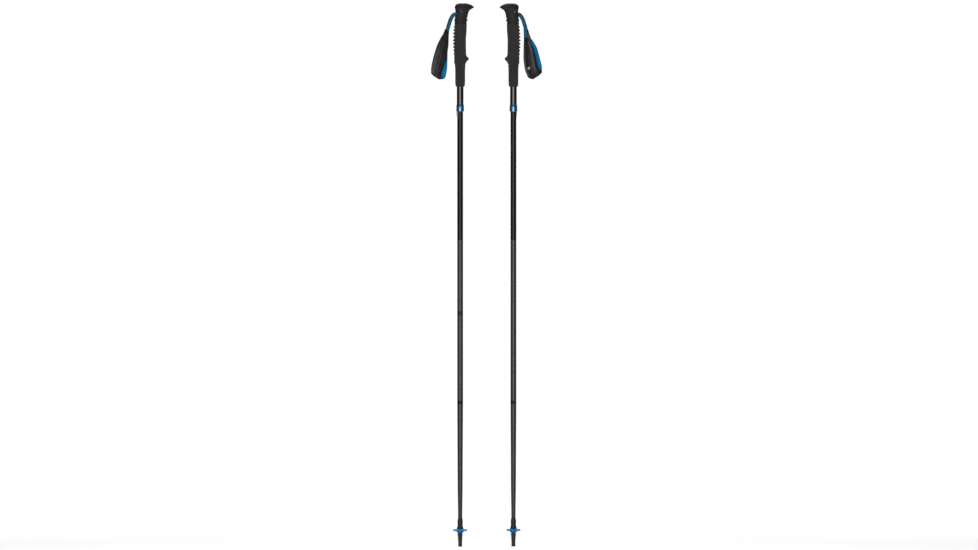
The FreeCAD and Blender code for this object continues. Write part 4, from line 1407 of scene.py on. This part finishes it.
def build_floor():
    bm = bmesh.new()
    bmesh.ops.create_circle(bm, cap_ends=True, radius=40.0, segments=96)
    mesh = bpy.data.meshes.new("floor")
    bm.to_mesh(mesh)
    bm.free()
    mesh.materials.append(floor_material())
    floor = bpy.data.objects.new("floor", mesh)
    floor.location = (0, 0, min(0.0, CAD_LO.z) - 0.0002)
    bpy.context.scene.collection.objects.link(floor)


def build_world():
    """White to the camera, a faint fill light to everything else."""
    world = bpy.data.worlds.new("studio")
    bpy.context.scene.world = world
    world.use_nodes = True
    tree = world.node_tree
    tree.nodes.clear()
    output = tree.nodes.new("ShaderNodeOutputWorld")
    background = tree.nodes.new("ShaderNodeBackground")
    light_path = tree.nodes.new("ShaderNodeLightPath")
    strength = tree.nodes.new("ShaderNodeMapRange")
    tree.links.new(light_path.outputs["Is Camera Ray"], strength.inputs["Value"])
    strength.inputs["To Min"].default_value = 0.085
    strength.inputs["To Max"].default_value = BACKDROP_WHITE
    background.inputs["Color"].default_value = (1, 1, 1, 1)
    tree.links.new(strength.outputs[0], background.inputs["Strength"])
    tree.links.new(background.outputs[0], output.inputs[0])


def panel(name, azimuth, distance, height, size_x, size_y, radiance):
    """A soft light panel aimed at the poles; azimuth in degrees, 0 being at -Y."""
    data = bpy.data.lights.new(name, "AREA")
    data.shape = "RECTANGLE"
    data.size, data.size_y = size_x, size_y
    data.energy = radiance * math.pi * size_x * size_y
    ob = bpy.data.objects.new(name, data)
    angle = math.radians(azimuth)
    ob.location = (math.sin(angle) * distance, -math.cos(angle) * distance, height)
    look = Vector((0, 0, 0.65)) - Vector(ob.location)        # half the poles' height
    ob.rotation_euler = look.to_track_quat("-Z", "Y").to_euler()
    ob.visible_camera = False
    bpy.context.scene.collection.objects.link(ob)


def build_camera():
    data = bpy.data.cameras.new("camera")
    data.lens = 800.0
    data.sensor_width = 36.0
    data.clip_start, data.clip_end = 0.1, 200.0
    camera = bpy.data.objects.new("camera", data)
    angle = math.radians(VIEW_AZIMUTH)
    back = Vector((math.sin(angle), -math.cos(angle), 0.0))
    distance = FRAME_WIDTH / (data.sensor_width / data.lens)
    framing_shift = Vector((0.0051, -0.0014, -0.0003))
    camera.location = (CAD_LO + CAD_HI) / 2 + framing_shift + back * distance
    camera.rotation_mode = "QUATERNION"
    camera.rotation_quaternion = (-back).to_track_quat("-Z", "Y")
    bpy.context.scene.collection.objects.link(camera)
    bpy.context.scene.camera = camera


for side_name in SIDES:
    paint_cad(side_name)
for side_name in SIDES:
    build_head(side_name)
    build_pin(side_name)
    build_foam(side_name)
    build_extension(side_name)
    wrist_band = build_band(side_name)
    build_band_stitches(side_name, wrist_band)
    build_label(side_name, wrist_band)
    build_webbing(side_name)
    build_cords(side_name)
    build_basket(side_name)

build_floor()
build_world()
panel("front_panel_high", azimuth=VIEW_AZIMUTH - 3, distance=3.0, height=1.12,
      size_x=2.7, size_y=0.95, radiance=4.8)
panel("front_panel_low", azimuth=VIEW_AZIMUTH - 3, distance=3.0, height=0.16,
      size_x=2.7, size_y=0.95, radiance=4.1)
panel("back_high_panel", azimuth=VIEW_AZIMUTH + 180, distance=2.2, height=2.9,
      size_x=2.6, size_y=1.6, radiance=2.6)
panel("top_panel", azimuth=0, distance=0.01, height=3.0, size_x=2.6, size_y=2.6, radiance=1.1)
build_camera()

view = bpy.context.scene.view_settings
view.view_transform = "Standard"
view.look = "None"
view.exposure = 0.0
view.gamma = 1.0
